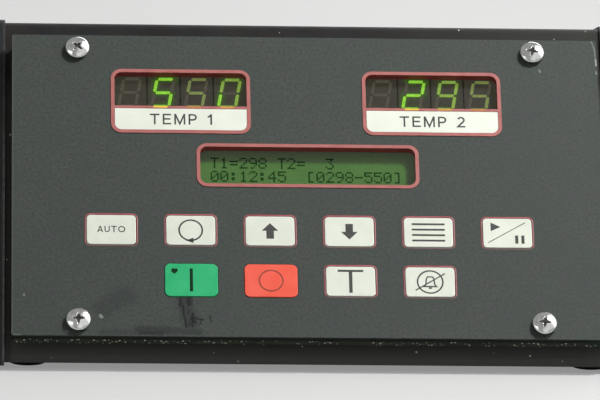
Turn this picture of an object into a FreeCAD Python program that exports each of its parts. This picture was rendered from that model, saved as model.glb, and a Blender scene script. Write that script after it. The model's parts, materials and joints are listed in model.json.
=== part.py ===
import FreeCAD, Part
import math
import os
from FreeCAD import Placement, Rotation, Vector

# Control console of a reflow oven: a panel of displays and keys on a black sloped case.
# Millimetres and degrees. +Z is up, the panel faces -Y, +X is to its right.
# The origin is on the bench under the middle of the console.

# Front panel layout, from the panel's edges inwards
KEY_PITCH = 30.48
KEY_ROW_PITCH = 21.77
SIDE_MARGIN = 38.1
TOP_MARGIN = 15.25
DISPLAY_GAP = 4.45
KEY_GAP = 12.35
BOTTOM_MARGIN = 24.4
DIGIT_DISPLAY_SPACING = 97.76
UPPER_KEYS = ("auto", "repeat", "up", "down", "menu", "run_pause")
LOWER_KEYS = ("on", "off", "temperature", "alarm_off")
PLAIN_COLOUR_KEYS = ("on", "off")

# Panel stack, from its face inwards
OVERLAY_THICKNESS = 0.5
PLATE_THICKNESS = 2.5
GASKET_THICKNESS = 4.5
GASKET_INSET = 0.8
PANEL_CORNER = 1.0
PANEL_SLOPE = 50.0

# Red display trims and white label plates
TRIM_LINE = 1.4
TRIM_BAR = 1.1
TRIM_CORNER = 4.2
TRIM_LIFT = 0.25
TRIM_WALL = 0.8
TRIM_CLEARANCE = 0.1
WINDOW_WIDTH = 51.35
WINDOW_HEIGHT = 15.1
LABEL_HEIGHT = 9.65
LABEL_THICKNESS = 0.15
TEXT_WINDOW_WIDTH = 83.3
TEXT_WINDOW_HEIGHT = 16.45

# Digit modules
DIGIT_COUNT = 4
DIGIT_PITCH = 12.95
DIGIT_GAP = 0.2
DIGIT_MODULE_HEIGHT = 19.0
DIGIT_MODULE_DEPTH = 8.0
DIGIT_SETBACK = 0.3
DIGIT_TOP_GAP = 0.4
DIGIT_SIDE_STEP = 0.25
DIGIT_HEIGHT = 13.5
DIGIT_WIDTH = 7.85
DIGIT_SLANT = 10.0
SEGMENT_WIDTH = 1.25
SEGMENT_GAP = 0.35
SEGMENT_LIFT = 0.1

# Text display module
TEXT_FRAME_SETBACK = 0.1
TEXT_FRAME_WALL = 1.0
TEXT_FRAME_BORDER = 6.5
TEXT_FRAME_DEPTH = 5.4
TEXT_OPENING_MARGIN = 0.6
TEXT_GLASS_THICKNESS = 1.1
TEXT_GLASS_CLEARANCE = 0.2
TEXT_BOARD_MARGIN_X = 9.5
TEXT_BOARD_MARGIN_Y = 4.0
TEXT_SPACER_RADIUS = 2.5
TEXT_SPACER_INSET = 3.5
BOARD_THICKNESS = 1.6

# Keys and their switches
KEY_WIDTH = 20.3
KEY_HEIGHT = 14.3
KEY_CORNER = 2.3
KEY_OUTLINE = 0.7
KEY_LIFT = 0.3
KEY_EDGE_ROUND = 0.25
KEY_CLEARANCE = 0.2
KEY_TRAVEL = 0.5
KEY_REST_GAP = 0.05
KEY_FLANGE = 1.1
KEY_FLANGE_THICKNESS = 1.0
STEM_RADIUS = 1.75
STEM_CLEARANCE = 0.1
STEM_ENGAGEMENT = 0.9
STEM_END_GAP = 0.6
SWITCH_SIZE = 6.0
SWITCH_BASE = 1.8

# Display board and its standoffs
BOARD_EDGE_GAP = 1.0
BOARD_KEY_MARGIN = 12.0
STANDOFF_RADIUS = 3.0
STANDOFF_INSET = 5.0
BOARD_SCREW_RADIUS = 1.5
BOARD_SCREW_HEAD_RADIUS = 2.8
BOARD_SCREW_HEAD_HEIGHT = 1.8
BOARD_SCREW_GRIP = 5.0
SCREW_CLEARANCE = 0.1

# Panel screws and nuts
PANEL_SCREW_INSET_X = 25.4
PANEL_SCREW_INSET_Y = 6.35
PANEL_SCREW_RADIUS = 2.4
PANEL_SCREW_HEAD_RADIUS = 4.7
PANEL_SCREW_HEAD_HEIGHT = 2.9
PANEL_SCREW_HEAD_ROUND = 2.0
PANEL_SCREW_TURNS = (25.0, 48.0, 38.0, 17.0)
PANEL_SCREW_TIP = 0.5
RECESS_LENGTH = 4.8
RECESS_WIDTH = 1.1
RECESS_DEPTH = 1.9
NUT_FLAT = 4.0
NUT_THICKNESS = 4.0
NUT_LAND = 1.5

# Case cover, cheeks, rear panel and base
SHEET = 1.5
BEND_RADIUS = 2.0
COVER_MARGIN_BOTTOM = 5.0
COVER_MARGIN_TOP = 10.0
COVER_MARGIN_SIDE = 2.6
OPENING_MARGIN_SIDE = 14.0
OPENING_CORNER = 4.0
FRONT_LIP = 2.5
ROOF_DEPTH = 48.0
ROOF_FALL = 12.0
BASE_THICKNESS = 2.0
REAR_THICKNESS = 2.0
REAR_INSET = 2.0
SHEET_GAP = 0.2
CHEEK_THICKNESS = 6.5
CHEEK_LIP = 1.2
CHEEK_CORNER = 5.0
CHEEK_FRONT_CORNER = 1.0
CHEEK_EDGE_ROUND = 0.8
GROOVE_DEPTH = 2.2
GROOVE_CLEARANCE = 0.1

# Tie rods between the cheeks, and the screws in their ends
ROD_RADIUS = 4.0
ROD_BASE_GAP = 0.5
FRONT_ROD_BACK = 26.0
REAR_ROD_FORWARD = 6.0
RIDGE_ROD_BACK = 0.5
RIDGE_ROD_DROP = 9.0
ROOF_ROD_FORWARD = 12.0
ROOF_ROD_DROP = 10.0
CHEEK_SCREW_RADIUS = 2.0
CHEEK_SCREW_GRIP = 10.0
CHEEK_SCREW_HEAD_RADIUS = 4.0
CHEEK_SCREW_HEAD_HEIGHT = 2.6
CHEEK_SCREW_HEAD_ROUND = 1.2
CHEEK_SCREW_TURNS = (26.0, 55.0, 8.0, 71.0)
CHEEK_RECESS_LENGTH = 4.2
CHEEK_RECESS_WIDTH = 1.0
CHEEK_RECESS_DEPTH = 1.4

# Rubber feet pushed into the base
FOOT_SHOW = 1.5
FOOT_RADIUS = 7.0
FOOT_STEM_RADIUS = 2.4
FOOT_HEAD_RADIUS = 3.6
FOOT_HEAD_HEIGHT = 1.5
FOOT_CLEARANCE = 0.1
FOOT_EDGE_ROUND = 0.6
FOOT_INSET_X = 9.0
FOOT_FRONT_BACK = 14.0
FOOT_REAR_FORWARD = 18.0

# Vent slots
VENT_WIDTH = 3.0
VENT_LENGTH = 20.0
VENT_CORNER = 1.3
VENT_PITCH = 7.0
VENT_COUNT = 10
REAR_VENT_HEIGHT = 28.0
REAR_VENT_X = 55.0

# Fittings on the rear panel
REAR_ROW_HEIGHT = 74.0
GLAND_X = (-78.0, -38.0)
GLAND_CABLE_RADIUS = 4.0
GLAND_SEAL_WALL = 2.2
GLAND_SEAL_LENGTH = 14.0
GLAND_BARREL_WALL = 1.5
GLAND_CLEARANCE = 0.1
GLAND_FLANGE_FLAT = 10.0
GLAND_FLANGE_THICKNESS = 4.0
GLAND_INSIDE_LENGTH = 9.0
GLAND_OUTSIDE_LENGTH = 9.0
GLAND_CAP_WALL = 2.0
GLAND_CAP_END = 3.0
GLAND_CAP_TAPER = 3.0
GLAND_MOUTH_GAP = 1.0
LOCK_NUT_THICKNESS = 4.0
LOCK_NUT_RIM = 2.6
FUSE_X = 35.0
FUSE_BARREL_RADIUS = 6.2
FUSE_BARREL_LENGTH = 30.0
FUSE_FLANGE_RADIUS = 9.0
FUSE_FLANGE_THICKNESS = 2.5
FUSE_BORE_RADIUS = 4.6
FUSE_LENGTH = 20.0
FUSE_RADIUS = 2.6
FUSE_CLEARANCE = 0.15
FUSE_END_GAP = 0.2
FUSE_RIM_ROUND = 0.4
FUSE_CAP_RADIUS = 7.2
FUSE_CAP_LENGTH = 8.0
FUSE_CAP_PLUG = 12.0
FUSE_CAP_GRIP = 10.0
FUSE_CAP_GAP = 0.3
FUSE_CAP_SLOT = 1.4
FUSE_CAP_SLOT_DEPTH = 1.6
FUSE_CAP_FLUTES = 12
FUSE_FLUTE_RADIUS = 0.7
SWITCH_X = 78.0
SWITCH_BEZEL_WIDTH = 15.0
SWITCH_BEZEL_HEIGHT = 21.5
SWITCH_BEZEL_THICKNESS = 2.0
SWITCH_BEZEL_CORNER = 1.0
SWITCH_BODY_WALL = 1.2
SWITCH_BODY_DEPTH = 18.0
SWITCH_RIM = 1.6
ROCKER_GAP = 0.4
ROCKER_ANGLE = 10.0
ROCKER_SHOW = 1.2
ROCKER_PIVOT_DEPTH = 2.0
ROCKER_BACK = 2.0
ROCKER_CROWN_ROUND = 4.0
ROCKER_EDGE_ROUND = 0.5
ROCKER_PIN_RADIUS = 1.2
ROCKER_PIN_REACH = 0.9
ROCKER_PIN_CLEARANCE = 0.05
ROCKER_CAVITY_DEPTH = 8.0

# Transformer on the base
CORE_LIMB = 9.5
CORE_STACK = 28.0
COIL_BULGE = 9.0
COIL_CLEARANCE = 0.2
STRAP_THICKNESS = 1.5
STRAP_WIDTH = 20.0
STRAP_FOOT = 10.0
TRANSFORMER_SIDE_GAP = 4.7
TRANSFORMER_REAR_GAP = 45.0
CHASSIS_SCREW_RADIUS = 1.9
CHASSIS_SCREW_HEAD_RADIUS = 3.5
CHASSIS_SCREW_HEAD_HEIGHT = 2.4

# Solid state relays on the base
RELAY_COUNT = 2
RELAY_LENGTH = 58.0
RELAY_WIDTH = 45.0
RELAY_HEIGHT = 23.0
RELAY_CORNER = 3.0
RELAY_GAP = 4.0
RELAY_FOOT_GAP = 1.5
RELAY_FRONT_BACK = 33.0
RELAY_EAR = 5.0
RELAY_EAR_THICKNESS = 4.0
RELAY_EAR_WIDTH = 14.0
TERMINAL_INSET = 9.0
TERMINAL_DEPTH = 4.0
TERMINAL_POCKET_RADIUS = 5.5
TERMINAL_HEAD_RADIUS = 4.0
TERMINAL_HEAD_HEIGHT = 2.6

# Power board on the base, and the ribbon from it to the display board
POWER_BOARD_WIDTH = 70.0
POWER_BOARD_LENGTH = 58.0
POWER_BOARD_RELAY_GAP = 5.0
POWER_BOARD_ROD_GAP = 3.4
PILLAR_HEIGHT = 8.0
PILLAR_RADIUS = 3.0
PILLAR_INSET = 5.0
CAPACITOR_COUNT = 2
CAPACITOR_RADIUS = 8.0
CAPACITOR_HEIGHT = 25.0
CAPACITOR_EDGE_ROUND = 1.0
CAPACITOR_PITCH = 20.0
CAPACITOR_INSET = 16.0
BUZZER_RADIUS = 8.0
BUZZER_HEIGHT = 10.0
BUZZER_INSET = 16.0
BUZZER_HOLE_RADIUS = 1.2
BUZZER_HOLE_DEPTH = 5.0
HEADER_LENGTH = 31.0
HEADER_WIDTH = 8.0
HEADER_HEIGHT = 8.5
HEADER_EDGE = 7.0
HEADER_SLOPE_POSITION = 5.0
RIBBON_WIDTH = 25.4
RIBBON_THICKNESS = 1.0
RIBBON_BEND = 18.0

# Panel heights and widths that follow from the layout
TRIM_HEIGHT = 2 * TRIM_LINE + TRIM_BAR + WINDOW_HEIGHT + LABEL_HEIGHT
TEXT_TRIM_HEIGHT = 2 * TRIM_LINE + TEXT_WINDOW_HEIGHT
PANEL_WIDTH = (len(UPPER_KEYS) - 1) * KEY_PITCH + 2 * SIDE_MARGIN
PANEL_HEIGHT = (TOP_MARGIN + TRIM_HEIGHT + DISPLAY_GAP + TEXT_TRIM_HEIGHT
                + KEY_GAP + KEY_HEIGHT / 2 + KEY_ROW_PITCH + BOTTOM_MARGIN)
TRIM_TOP = PANEL_HEIGHT / 2 - TOP_MARGIN
WINDOW_TOP = TRIM_TOP - TRIM_LINE
WINDOW_MIDDLE = WINDOW_TOP - WINDOW_HEIGHT / 2
WINDOW_CORNER = TRIM_CORNER - TRIM_LINE
DIGIT_MIDDLE = WINDOW_TOP - DIGIT_TOP_GAP - DIGIT_HEIGHT / 2
LABEL_MIDDLE = WINDOW_TOP - WINDOW_HEIGHT - TRIM_BAR - LABEL_HEIGHT / 2
TRIM_MIDDLE = TRIM_TOP - TRIM_HEIGHT / 2
TEXT_MIDDLE = TRIM_TOP - TRIM_HEIGHT - DISPLAY_GAP - TEXT_TRIM_HEIGHT / 2
LOWER_ROW = BOTTOM_MARGIN - PANEL_HEIGHT / 2
UPPER_ROW = LOWER_ROW + KEY_ROW_PITCH

# Depths behind the panel's face
PLATE_FRONT = -OVERLAY_THICKNESS
PLATE_BACK = PLATE_FRONT - PLATE_THICKNESS
COVER_FRONT = PLATE_BACK - GASKET_THICKNESS
COVER_BACK = COVER_FRONT - SHEET
DIGIT_FACE = PLATE_BACK - DIGIT_SETBACK
BOARD_FRONT = DIGIT_FACE - DIGIT_MODULE_DEPTH
BOARD_BACK = BOARD_FRONT - BOARD_THICKNESS
TEXT_FRAME_FRONT = PLATE_BACK - TEXT_FRAME_SETBACK
TEXT_BOARD_FRONT = TEXT_FRAME_FRONT - TEXT_FRAME_DEPTH
TEXT_BOARD_BACK = TEXT_BOARD_FRONT - BOARD_THICKNESS
FLANGE_FRONT = PLATE_BACK - KEY_REST_GAP
FLANGE_BACK = FLANGE_FRONT - KEY_FLANGE_THICKNESS
SWITCH_POCKET_FLOOR = BOARD_FRONT + SWITCH_BASE
STEM_END = SWITCH_POCKET_FLOOR + KEY_TRAVEL + STEM_END_GAP
SWITCH_TOP = STEM_END + STEM_ENGAGEMENT

# The case's side view: bench height is Z 0, and Y runs back from the cover's front lip
SLOPE_COS = math.cos(math.radians(PANEL_SLOPE))
SLOPE_SIN = math.sin(math.radians(PANEL_SLOPE))
FALL_TAN = math.tan(math.radians(ROOF_FALL))
FALL_COS = math.cos(math.radians(ROOF_FALL))
SLOPE_LENGTH = PANEL_HEIGHT + COVER_MARGIN_BOTTOM + COVER_MARGIN_TOP
BASE_BOTTOM = FOOT_SHOW + CHEEK_LIP
BASE_TOP = BASE_BOTTOM + BASE_THICKNESS
LIP_TOP = BASE_BOTTOM + FRONT_LIP
RIDGE_Y = SLOPE_LENGTH * SLOPE_COS
RIDGE_Z = LIP_TOP + SLOPE_LENGTH * SLOPE_SIN
BACK_Y = RIDGE_Y + ROOF_DEPTH
BACK_Z = RIDGE_Z - ROOF_DEPTH * FALL_TAN
REAR_OUTSIDE = BACK_Y - REAR_INSET
REAR_INSIDE = REAR_OUTSIDE - REAR_THICKNESS
REAR_TOP = RIDGE_Z - (REAR_OUTSIDE - RIDGE_Y) * FALL_TAN - SHEET / FALL_COS - SHEET_GAP
INNER_HALF = PANEL_WIDTH / 2 + COVER_MARGIN_SIDE
OUTER_HALF = INNER_HALF + CHEEK_THICKNESS
SHEET_HALF = INNER_HALF + GROOVE_DEPTH - GROOVE_CLEARANCE
PANEL_UP_SLOPE = PANEL_HEIGHT / 2 + COVER_MARGIN_BOTTOM
PANEL_CENTRE_Y = PANEL_UP_SLOPE * SLOPE_COS + COVER_FRONT * SLOPE_SIN
PANEL_CENTRE_Z = LIP_TOP + PANEL_UP_SLOPE * SLOPE_SIN - COVER_FRONT * SLOPE_COS
PANEL_PLACE = Placement(Vector(0, PANEL_CENTRE_Y, PANEL_CENTRE_Z), Rotation(Vector(1, 0, 0), PANEL_SLOPE))

# The opening in the cover, and the display board that passes through it
SCREW_X = PANEL_WIDTH / 2 - PANEL_SCREW_INSET_X
SCREW_Y = PANEL_HEIGHT / 2 - PANEL_SCREW_INSET_Y
OPENING_HALF_HEIGHT = SCREW_Y - NUT_FLAT / math.cos(math.radians(30)) - NUT_LAND
OPENING_HALF_WIDTH = PANEL_WIDTH / 2 - OPENING_MARGIN_SIDE
BOARD_HALF_HEIGHT = OPENING_HALF_HEIGHT - BOARD_EDGE_GAP
BOARD_HALF_WIDTH = PANEL_WIDTH / 2 - SIDE_MARGIN + BOARD_KEY_MARGIN
TEXT_FRAME_HALF_WIDTH = TEXT_WINDOW_WIDTH / 2 + TEXT_FRAME_BORDER
TEXT_FRAME_HALF_HEIGHT = TEXT_WINDOW_HEIGHT / 2 + TEXT_FRAME_BORDER

# Points nearer than this are one point
TOUCH = 1e-4

PIECES = {}


def keep(name, *solids):
    """Keep the solids of one named piece."""
    PIECES[name] = list(solids)


def on_panel(shape):
    """Move a shape from the panel's own frame, face at Z 0, to its slope on the case."""
    moved = shape.copy()
    moved.Placement = PANEL_PLACE.multiply(moved.Placement)
    return moved


def lift_point(point, level, axis):
    """Place a flat point on the level across the given axis."""
    first, second = point
    places = {"x": (level, first, second), "y": (first, level, second), "z": (first, second, level)}
    return Vector(*places[axis])


def unit(start, end):
    length = math.hypot(end[0] - start[0], end[1] - start[1])
    return (end[0] - start[0]) / length, (end[1] - start[1]) / length


def rounded_corner(before, corner, after, radius):
    """Start, middle and end of the arc that rounds one corner."""
    first = unit(corner, before)
    second = unit(corner, after)
    half = math.acos(first[0] * second[0] + first[1] * second[1]) / 2
    reach = radius / math.tan(half)
    inward = unit((0, 0), (first[0] + second[0], first[1] + second[1]))
    depth = radius / math.sin(half) - radius
    return [(corner[0] + way[0] * step, corner[1] + way[1] * step)
            for way, step in ((first, reach), (inward, depth), (second, reach))]


def prism(points, low, high, axis="z", radii=None):
    """Extrude a closed outline along an axis, with a corner radius for each point."""
    radii = radii or [0] * len(points)
    runs = []
    for index, corner in enumerate(points):
        if radii[index] > 0:
            after = points[(index + 1) % len(points)]
            runs.append(rounded_corner(points[index - 1], corner, after, radii[index]))
        else:
            runs.append([corner])
    edges = []
    for index, run in enumerate(runs):
        placed = [lift_point(point, low, axis) for point in run]
        if len(placed) == 3:
            edges.append(Part.Arc(*placed).toShape())
        following = lift_point(runs[(index + 1) % len(runs)][0], low, axis)
        if placed[-1].distanceToPoint(following) > TOUCH:
            edges.append(Part.LineSegment(placed[-1], following).toShape())
    way = lift_point((0, 0), high - low, axis)
    return Part.Face(Part.Wire(edges)).extrude(way)


def rectangle(centre_x, centre_y, width, height):
    left, right = centre_x - width / 2, centre_x + width / 2
    bottom, top = centre_y - height / 2, centre_y + height / 2
    return [(left, bottom), (right, bottom), (right, top), (left, top)]


def plate(centre_x, centre_y, width, height, low, high, corner=0.0, axis="z"):
    """A flat rectangular piece with four equal corner radii."""
    return prism(rectangle(centre_x, centre_y, width, height), low, high, axis, [corner] * 4)


def block(low, high):
    """A box between two opposite corners."""
    return Part.makeBox(high[0] - low[0], high[1] - low[1], high[2] - low[2], Vector(*low))


def disc(first, second, radius, low, high, axis="z"):
    way = lift_point((0, 0), 1, axis)
    return Part.makeCylinder(radius, high - low, lift_point((first, second), low, axis), way)


def hexagon(first, second, flat, low, high, axis="z"):
    """A hexagonal piece; flat is half its width across flats."""
    reach = flat / math.cos(math.radians(30))
    angles = [math.radians(60 * step) for step in range(6)]
    points = [(first + reach * math.cos(angle), second + reach * math.sin(angle)) for angle in angles]
    return prism(points, low, high, axis)


def rim_rounded(shape, axis, level, radius):
    """Round the edges that lie on one level across an axis."""
    index = "xyz".index(axis)
    chosen = []
    for edge in shape.Edges:
        box = edge.BoundBox
        spread = (box.XLength, box.YLength, box.ZLength)[index]
        if abs(box.Center[index] - level) < TOUCH and spread < TOUCH:
            chosen.append(edge)
    return shape.makeFillet(radius, chosen)


def cross_recess(centre_x, centre_y, length, width, depth, top, turn):
    """The cross-shaped pocket of a screw head whose top is at the given level."""
    low, high = top - depth, top + depth
    pocket = plate(0, 0, length, width, low, high).fuse(plate(0, 0, width, length, low, high))
    pocket.Placement = Placement(Vector(centre_x, centre_y, 0), Rotation(Vector(0, 0, 1), turn))
    return pocket


def offset_line(points, distance, closed):
    """Shift an outline to its outer side; the outline runs with its inside on its left."""
    count = len(points)
    shifted = []
    for index, corner in enumerate(points):
        before = points[index - 1] if closed or index > 0 else None
        after = points[(index + 1) % count] if closed or index < count - 1 else None
        ways = [unit(before, corner)] if before else []
        ways += [unit(corner, after)] if after else []
        normals = [(way[1], -way[0]) for way in ways]
        total = (sum(normal[0] for normal in normals), sum(normal[1] for normal in normals))
        middle = unit((0, 0), total)
        stretch = distance / (middle[0] * normals[0][0] + middle[1] * normals[0][1])
        shifted.append((corner[0] + middle[0] * stretch, corner[1] + middle[1] * stretch))
    return shifted


def bent_sheet(path, outside, inside, low, high, bend):
    """A sheet bent along an open path, extruded along X; bend is the radius on its inner side."""
    outer = offset_line(path, outside, False)
    inner = offset_line(path, -inside, False)
    ends = [0]
    outer_radii = ends + [bend + outside + inside] * (len(path) - 2) + ends
    inner_radii = ends + [bend] * (len(path) - 2) + ends
    return prism(outer + inner[::-1], low, high, "x", outer_radii + inner_radii[::-1])


def mirrored(shape):
    return shape.mirror(Vector(0, 0, 0), Vector(1, 0, 0))


def key_places():
    """Name, X and Y of every key on the panel."""
    places = []
    for names, row in ((UPPER_KEYS, UPPER_ROW), (LOWER_KEYS, LOWER_ROW)):
        for index, name in enumerate(names):
            places.append((name, (index - (len(names) - 1) / 2) * KEY_PITCH, row))
    return places


def key_size(name):
    """Width, height and corner of a key cap: outlined keys are smaller by their outline."""
    rim = 0.0 if name in PLAIN_COLOUR_KEYS else KEY_OUTLINE
    return KEY_WIDTH - 2 * rim, KEY_HEIGHT - 2 * rim, KEY_CORNER - rim


def panel_screw_places():
    return [(-SCREW_X, SCREW_Y), (SCREW_X, SCREW_Y), (-SCREW_X, -SCREW_Y), (SCREW_X, -SCREW_Y)]


def standoff_places():
    across = BOARD_HALF_WIDTH - STANDOFF_INSET
    along = BOARD_HALF_HEIGHT - STANDOFF_INSET
    return [(side * across, row) for side in (-1, 1) for row in (-along, TEXT_MIDDLE, along)]


def cut_all(shape, cutters):
    return shape.cut(Part.makeCompound(cutters)) if cutters else shape


def key_holes(low, high):
    holes = []
    for name, across, row in key_places():
        width, height, corner = key_size(name)
        grow = 2 * KEY_CLEARANCE
        holes.append(plate(across, row, width + grow, height + grow, low, high, corner + KEY_CLEARANCE))
    return holes


def digit_window(side):
    """Middle, size and corner radii of a digit window; the bar under it squares its lower corners."""
    corners = (0, 0, WINDOW_CORNER, WINDOW_CORNER)
    return side * DIGIT_DISPLAY_SPACING / 2, WINDOW_MIDDLE, WINDOW_WIDTH, WINDOW_HEIGHT, corners


def label_window(side):
    """Middle, size and corner radii of the place for a label plate, under the bar."""
    corners = (WINDOW_CORNER, WINDOW_CORNER, 0, 0)
    return side * DIGIT_DISPLAY_SPACING / 2, LABEL_MIDDLE, WINDOW_WIDTH, LABEL_HEIGHT, corners


def text_window():
    return 0, TEXT_MIDDLE, TEXT_WINDOW_WIDTH, TEXT_WINDOW_HEIGHT, (WINDOW_CORNER,) * 4


def window_plug(window, margin, low, high):
    """A solid that fills a window of a display trim and reaches past it by a margin."""
    centre_x, centre_y, width, height, corners = window
    outline = rectangle(centre_x, centre_y, width + 2 * margin, height + 2 * margin)
    return prism(outline, low, high, "z", [corner + margin for corner in corners])


def window_holes(low, high):
    """Holes that take the display trims' sleeves."""
    margin = TRIM_WALL + TRIM_CLEARANCE
    windows = (digit_window(-1), digit_window(1), text_window())
    return [window_plug(window, margin, low, high) for window in windows]


def panel_screw_holes(low, high):
    radius = PANEL_SCREW_RADIUS + SCREW_CLEARANCE
    return [disc(across, row, radius, low, high) for across, row in panel_screw_places()]


def panel_sheet(low, high):
    """One full layer of the panel with all its openings."""
    sheet = plate(0, 0, PANEL_WIDTH, PANEL_HEIGHT, low, high, PANEL_CORNER)
    return cut_all(sheet, key_holes(low, high) + window_holes(low, high) + panel_screw_holes(low, high))


def panel_opening(low, high):
    """The large hole behind the panel that the display board passes through."""
    return plate(0, 0, 2 * OPENING_HALF_WIDTH, 2 * OPENING_HALF_HEIGHT, low, high, OPENING_CORNER)


def build_panel():
    keep("front_panel", on_panel(panel_sheet(PLATE_BACK, PLATE_FRONT)))
    keep("panel_overlay", on_panel(panel_sheet(PLATE_FRONT, 0)))
    width, height = PANEL_WIDTH - 2 * GASKET_INSET, PANEL_HEIGHT - 2 * GASKET_INSET
    gasket = plate(0, 0, width, height, COVER_FRONT, PLATE_BACK, PANEL_CORNER)
    holes = [panel_opening(COVER_FRONT, PLATE_BACK)] + panel_screw_holes(COVER_FRONT, PLATE_BACK)
    keep("panel_gasket", on_panel(cut_all(gasket, holes)))


def sleeve(window):
    """The wall of a display trim that lines its window through the panel."""
    outer = window_plug(window, TRIM_WALL, PLATE_BACK, 0)
    return outer.cut(window_plug(window, 0, PLATE_BACK, 0))


def trim_flange(centre_x, centre_y, width, height):
    """The flat red band of a display trim, before its windows are cut."""
    return plate(centre_x, centre_y, width + 2 * TRIM_LINE, height, 0, TRIM_LIFT, TRIM_CORNER)


def build_trims():
    labels = []
    for side, name in ((-1, "left_display_trim"), (1, "right_display_trim")):
        window, place = digit_window(side), label_window(side)
        flange = trim_flange(side * DIGIT_DISPLAY_SPACING / 2, TRIM_MIDDLE, WINDOW_WIDTH, TRIM_HEIGHT)
        for opening in (window, place):
            flange = flange.cut(window_plug(opening, 0, 0, TRIM_LIFT))
        keep(name, on_panel(flange.fuse(sleeve(window)).removeSplitter()))
        labels.append(on_panel(window_plug(place, -TRIM_CLEARANCE, 0, LABEL_THICKNESS)))
    keep("display_labels", *labels)
    flange = trim_flange(0, TEXT_MIDDLE, TEXT_WINDOW_WIDTH, TEXT_TRIM_HEIGHT)
    flange = flange.cut(window_plug(text_window(), 0, 0, TRIM_LIFT))
    keep("text_display_trim", on_panel(flange.fuse(sleeve(text_window())).removeSplitter()))


def segment_outlines():
    """The seven slanted bars of one digit, about its middle."""
    half_width = (DIGIT_WIDTH - SEGMENT_WIDTH) / 2
    half_height = (DIGIT_HEIGHT - SEGMENT_WIDTH) / 2
    half = SEGMENT_WIDTH / 2
    lean = math.tan(math.radians(DIGIT_SLANT))
    flat_reach = half_width - SEGMENT_GAP
    tall_reach = half_height / 2 - SEGMENT_GAP
    flat = [(-flat_reach, 0), (half - flat_reach, -half), (flat_reach - half, -half),
            (flat_reach, 0), (flat_reach - half, half), (half - flat_reach, half)]
    tall = [(0, -tall_reach), (half, half - tall_reach), (half, tall_reach - half),
            (0, tall_reach), (-half, tall_reach - half), (-half, half - tall_reach)]
    bars = [(flat, 0, row) for row in (half_height, 0, -half_height)]
    for side in (-half_width, half_width):
        bars += [(tall, side, row) for row in (half_height / 2, -half_height / 2)]
    return [[(x + across + lean * (y + row), y + row) for x, y in outline] for outline, across, row in bars]


def build_digits():
    """The digit modules; each digit sits a step to the left in its module, beside its point's place."""
    segments = []
    for side, name in ((-1, "left"), (1, "right")):
        modules = []
        for index in range(DIGIT_COUNT):
            across = side * DIGIT_DISPLAY_SPACING / 2 + (index - (DIGIT_COUNT - 1) / 2) * DIGIT_PITCH
            width = DIGIT_PITCH - DIGIT_GAP
            module = plate(across, DIGIT_MIDDLE, width, DIGIT_MODULE_HEIGHT, BOARD_FRONT, DIGIT_FACE)
            modules.append(on_panel(module))
            for outline in segment_outlines():
                placed = [(x + across - DIGIT_SIDE_STEP, y + DIGIT_MIDDLE) for x, y in outline]
                segments.append(on_panel(prism(placed, DIGIT_FACE, DIGIT_FACE + SEGMENT_LIFT)))
        keep(name + "_digit_modules", *modules)
    keep("digit_segments", *segments)


def build_text_display():
    wide, tall = 2 * TEXT_FRAME_HALF_WIDTH, 2 * TEXT_FRAME_HALF_HEIGHT
    hollow_wide, hollow_tall = wide - 2 * TEXT_FRAME_WALL, tall - 2 * TEXT_FRAME_WALL
    glass_front = TEXT_FRAME_FRONT - TEXT_FRAME_WALL
    glass_back = glass_front - TEXT_GLASS_THICKNESS
    frame = plate(0, TEXT_MIDDLE, wide, tall, TEXT_BOARD_FRONT, TEXT_FRAME_FRONT)
    hollow = plate(0, TEXT_MIDDLE, hollow_wide, hollow_tall, TEXT_BOARD_FRONT, glass_front)
    opening = plate(0, TEXT_MIDDLE, TEXT_WINDOW_WIDTH + 2 * TEXT_OPENING_MARGIN,
                    TEXT_WINDOW_HEIGHT + 2 * TEXT_OPENING_MARGIN, glass_front, TEXT_FRAME_FRONT)
    keep("text_display_frame", on_panel(frame.cut(hollow).cut(opening)))
    shrink = 2 * TEXT_GLASS_CLEARANCE
    filling = (0, TEXT_MIDDLE, hollow_wide - shrink, hollow_tall - shrink)
    keep("text_display_glass", on_panel(plate(*filling, glass_back, glass_front)))
    keep("text_display_backlight", on_panel(plate(*filling, TEXT_BOARD_FRONT, glass_back)))
    board_wide, board_tall = wide + 2 * TEXT_BOARD_MARGIN_X, tall + 2 * TEXT_BOARD_MARGIN_Y
    board = plate(0, TEXT_MIDDLE, board_wide, board_tall, TEXT_BOARD_BACK, TEXT_BOARD_FRONT)
    keep("text_display_board", on_panel(board))
    across, along = board_wide / 2 - TEXT_SPACER_INSET, board_tall / 2 - TEXT_SPACER_INSET
    spacers = [disc(x, TEXT_MIDDLE + y, TEXT_SPACER_RADIUS, BOARD_FRONT, TEXT_BOARD_BACK)
               for x in (-across, across) for y in (-along, along)]
    keep("text_display_spacers", *[on_panel(spacer) for spacer in spacers])


def build_keys():
    switches = []
    for name, across, row in key_places():
        width, height, corner = key_size(name)
        cap = plate(across, row, width, height, FLANGE_FRONT, KEY_LIFT, corner)
        cap = rim_rounded(cap, "z", KEY_LIFT, KEY_EDGE_ROUND)
        wide, tall = width + 2 * KEY_FLANGE, height + 2 * KEY_FLANGE
        flange = plate(across, row, wide, tall, FLANGE_BACK, FLANGE_FRONT, corner + KEY_FLANGE)
        stem = disc(across, row, STEM_RADIUS, STEM_END, FLANGE_BACK)
        keep("key_" + name, on_panel(cap.fuse(flange).fuse(stem).removeSplitter()))
        body = plate(across, row, SWITCH_SIZE, SWITCH_SIZE, BOARD_FRONT, SWITCH_TOP)
        pocket = disc(across, row, STEM_RADIUS + STEM_CLEARANCE, SWITCH_POCKET_FLOOR, SWITCH_TOP)
        switches.append(on_panel(body.cut(pocket)))
    keep("key_switches", *switches)


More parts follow.
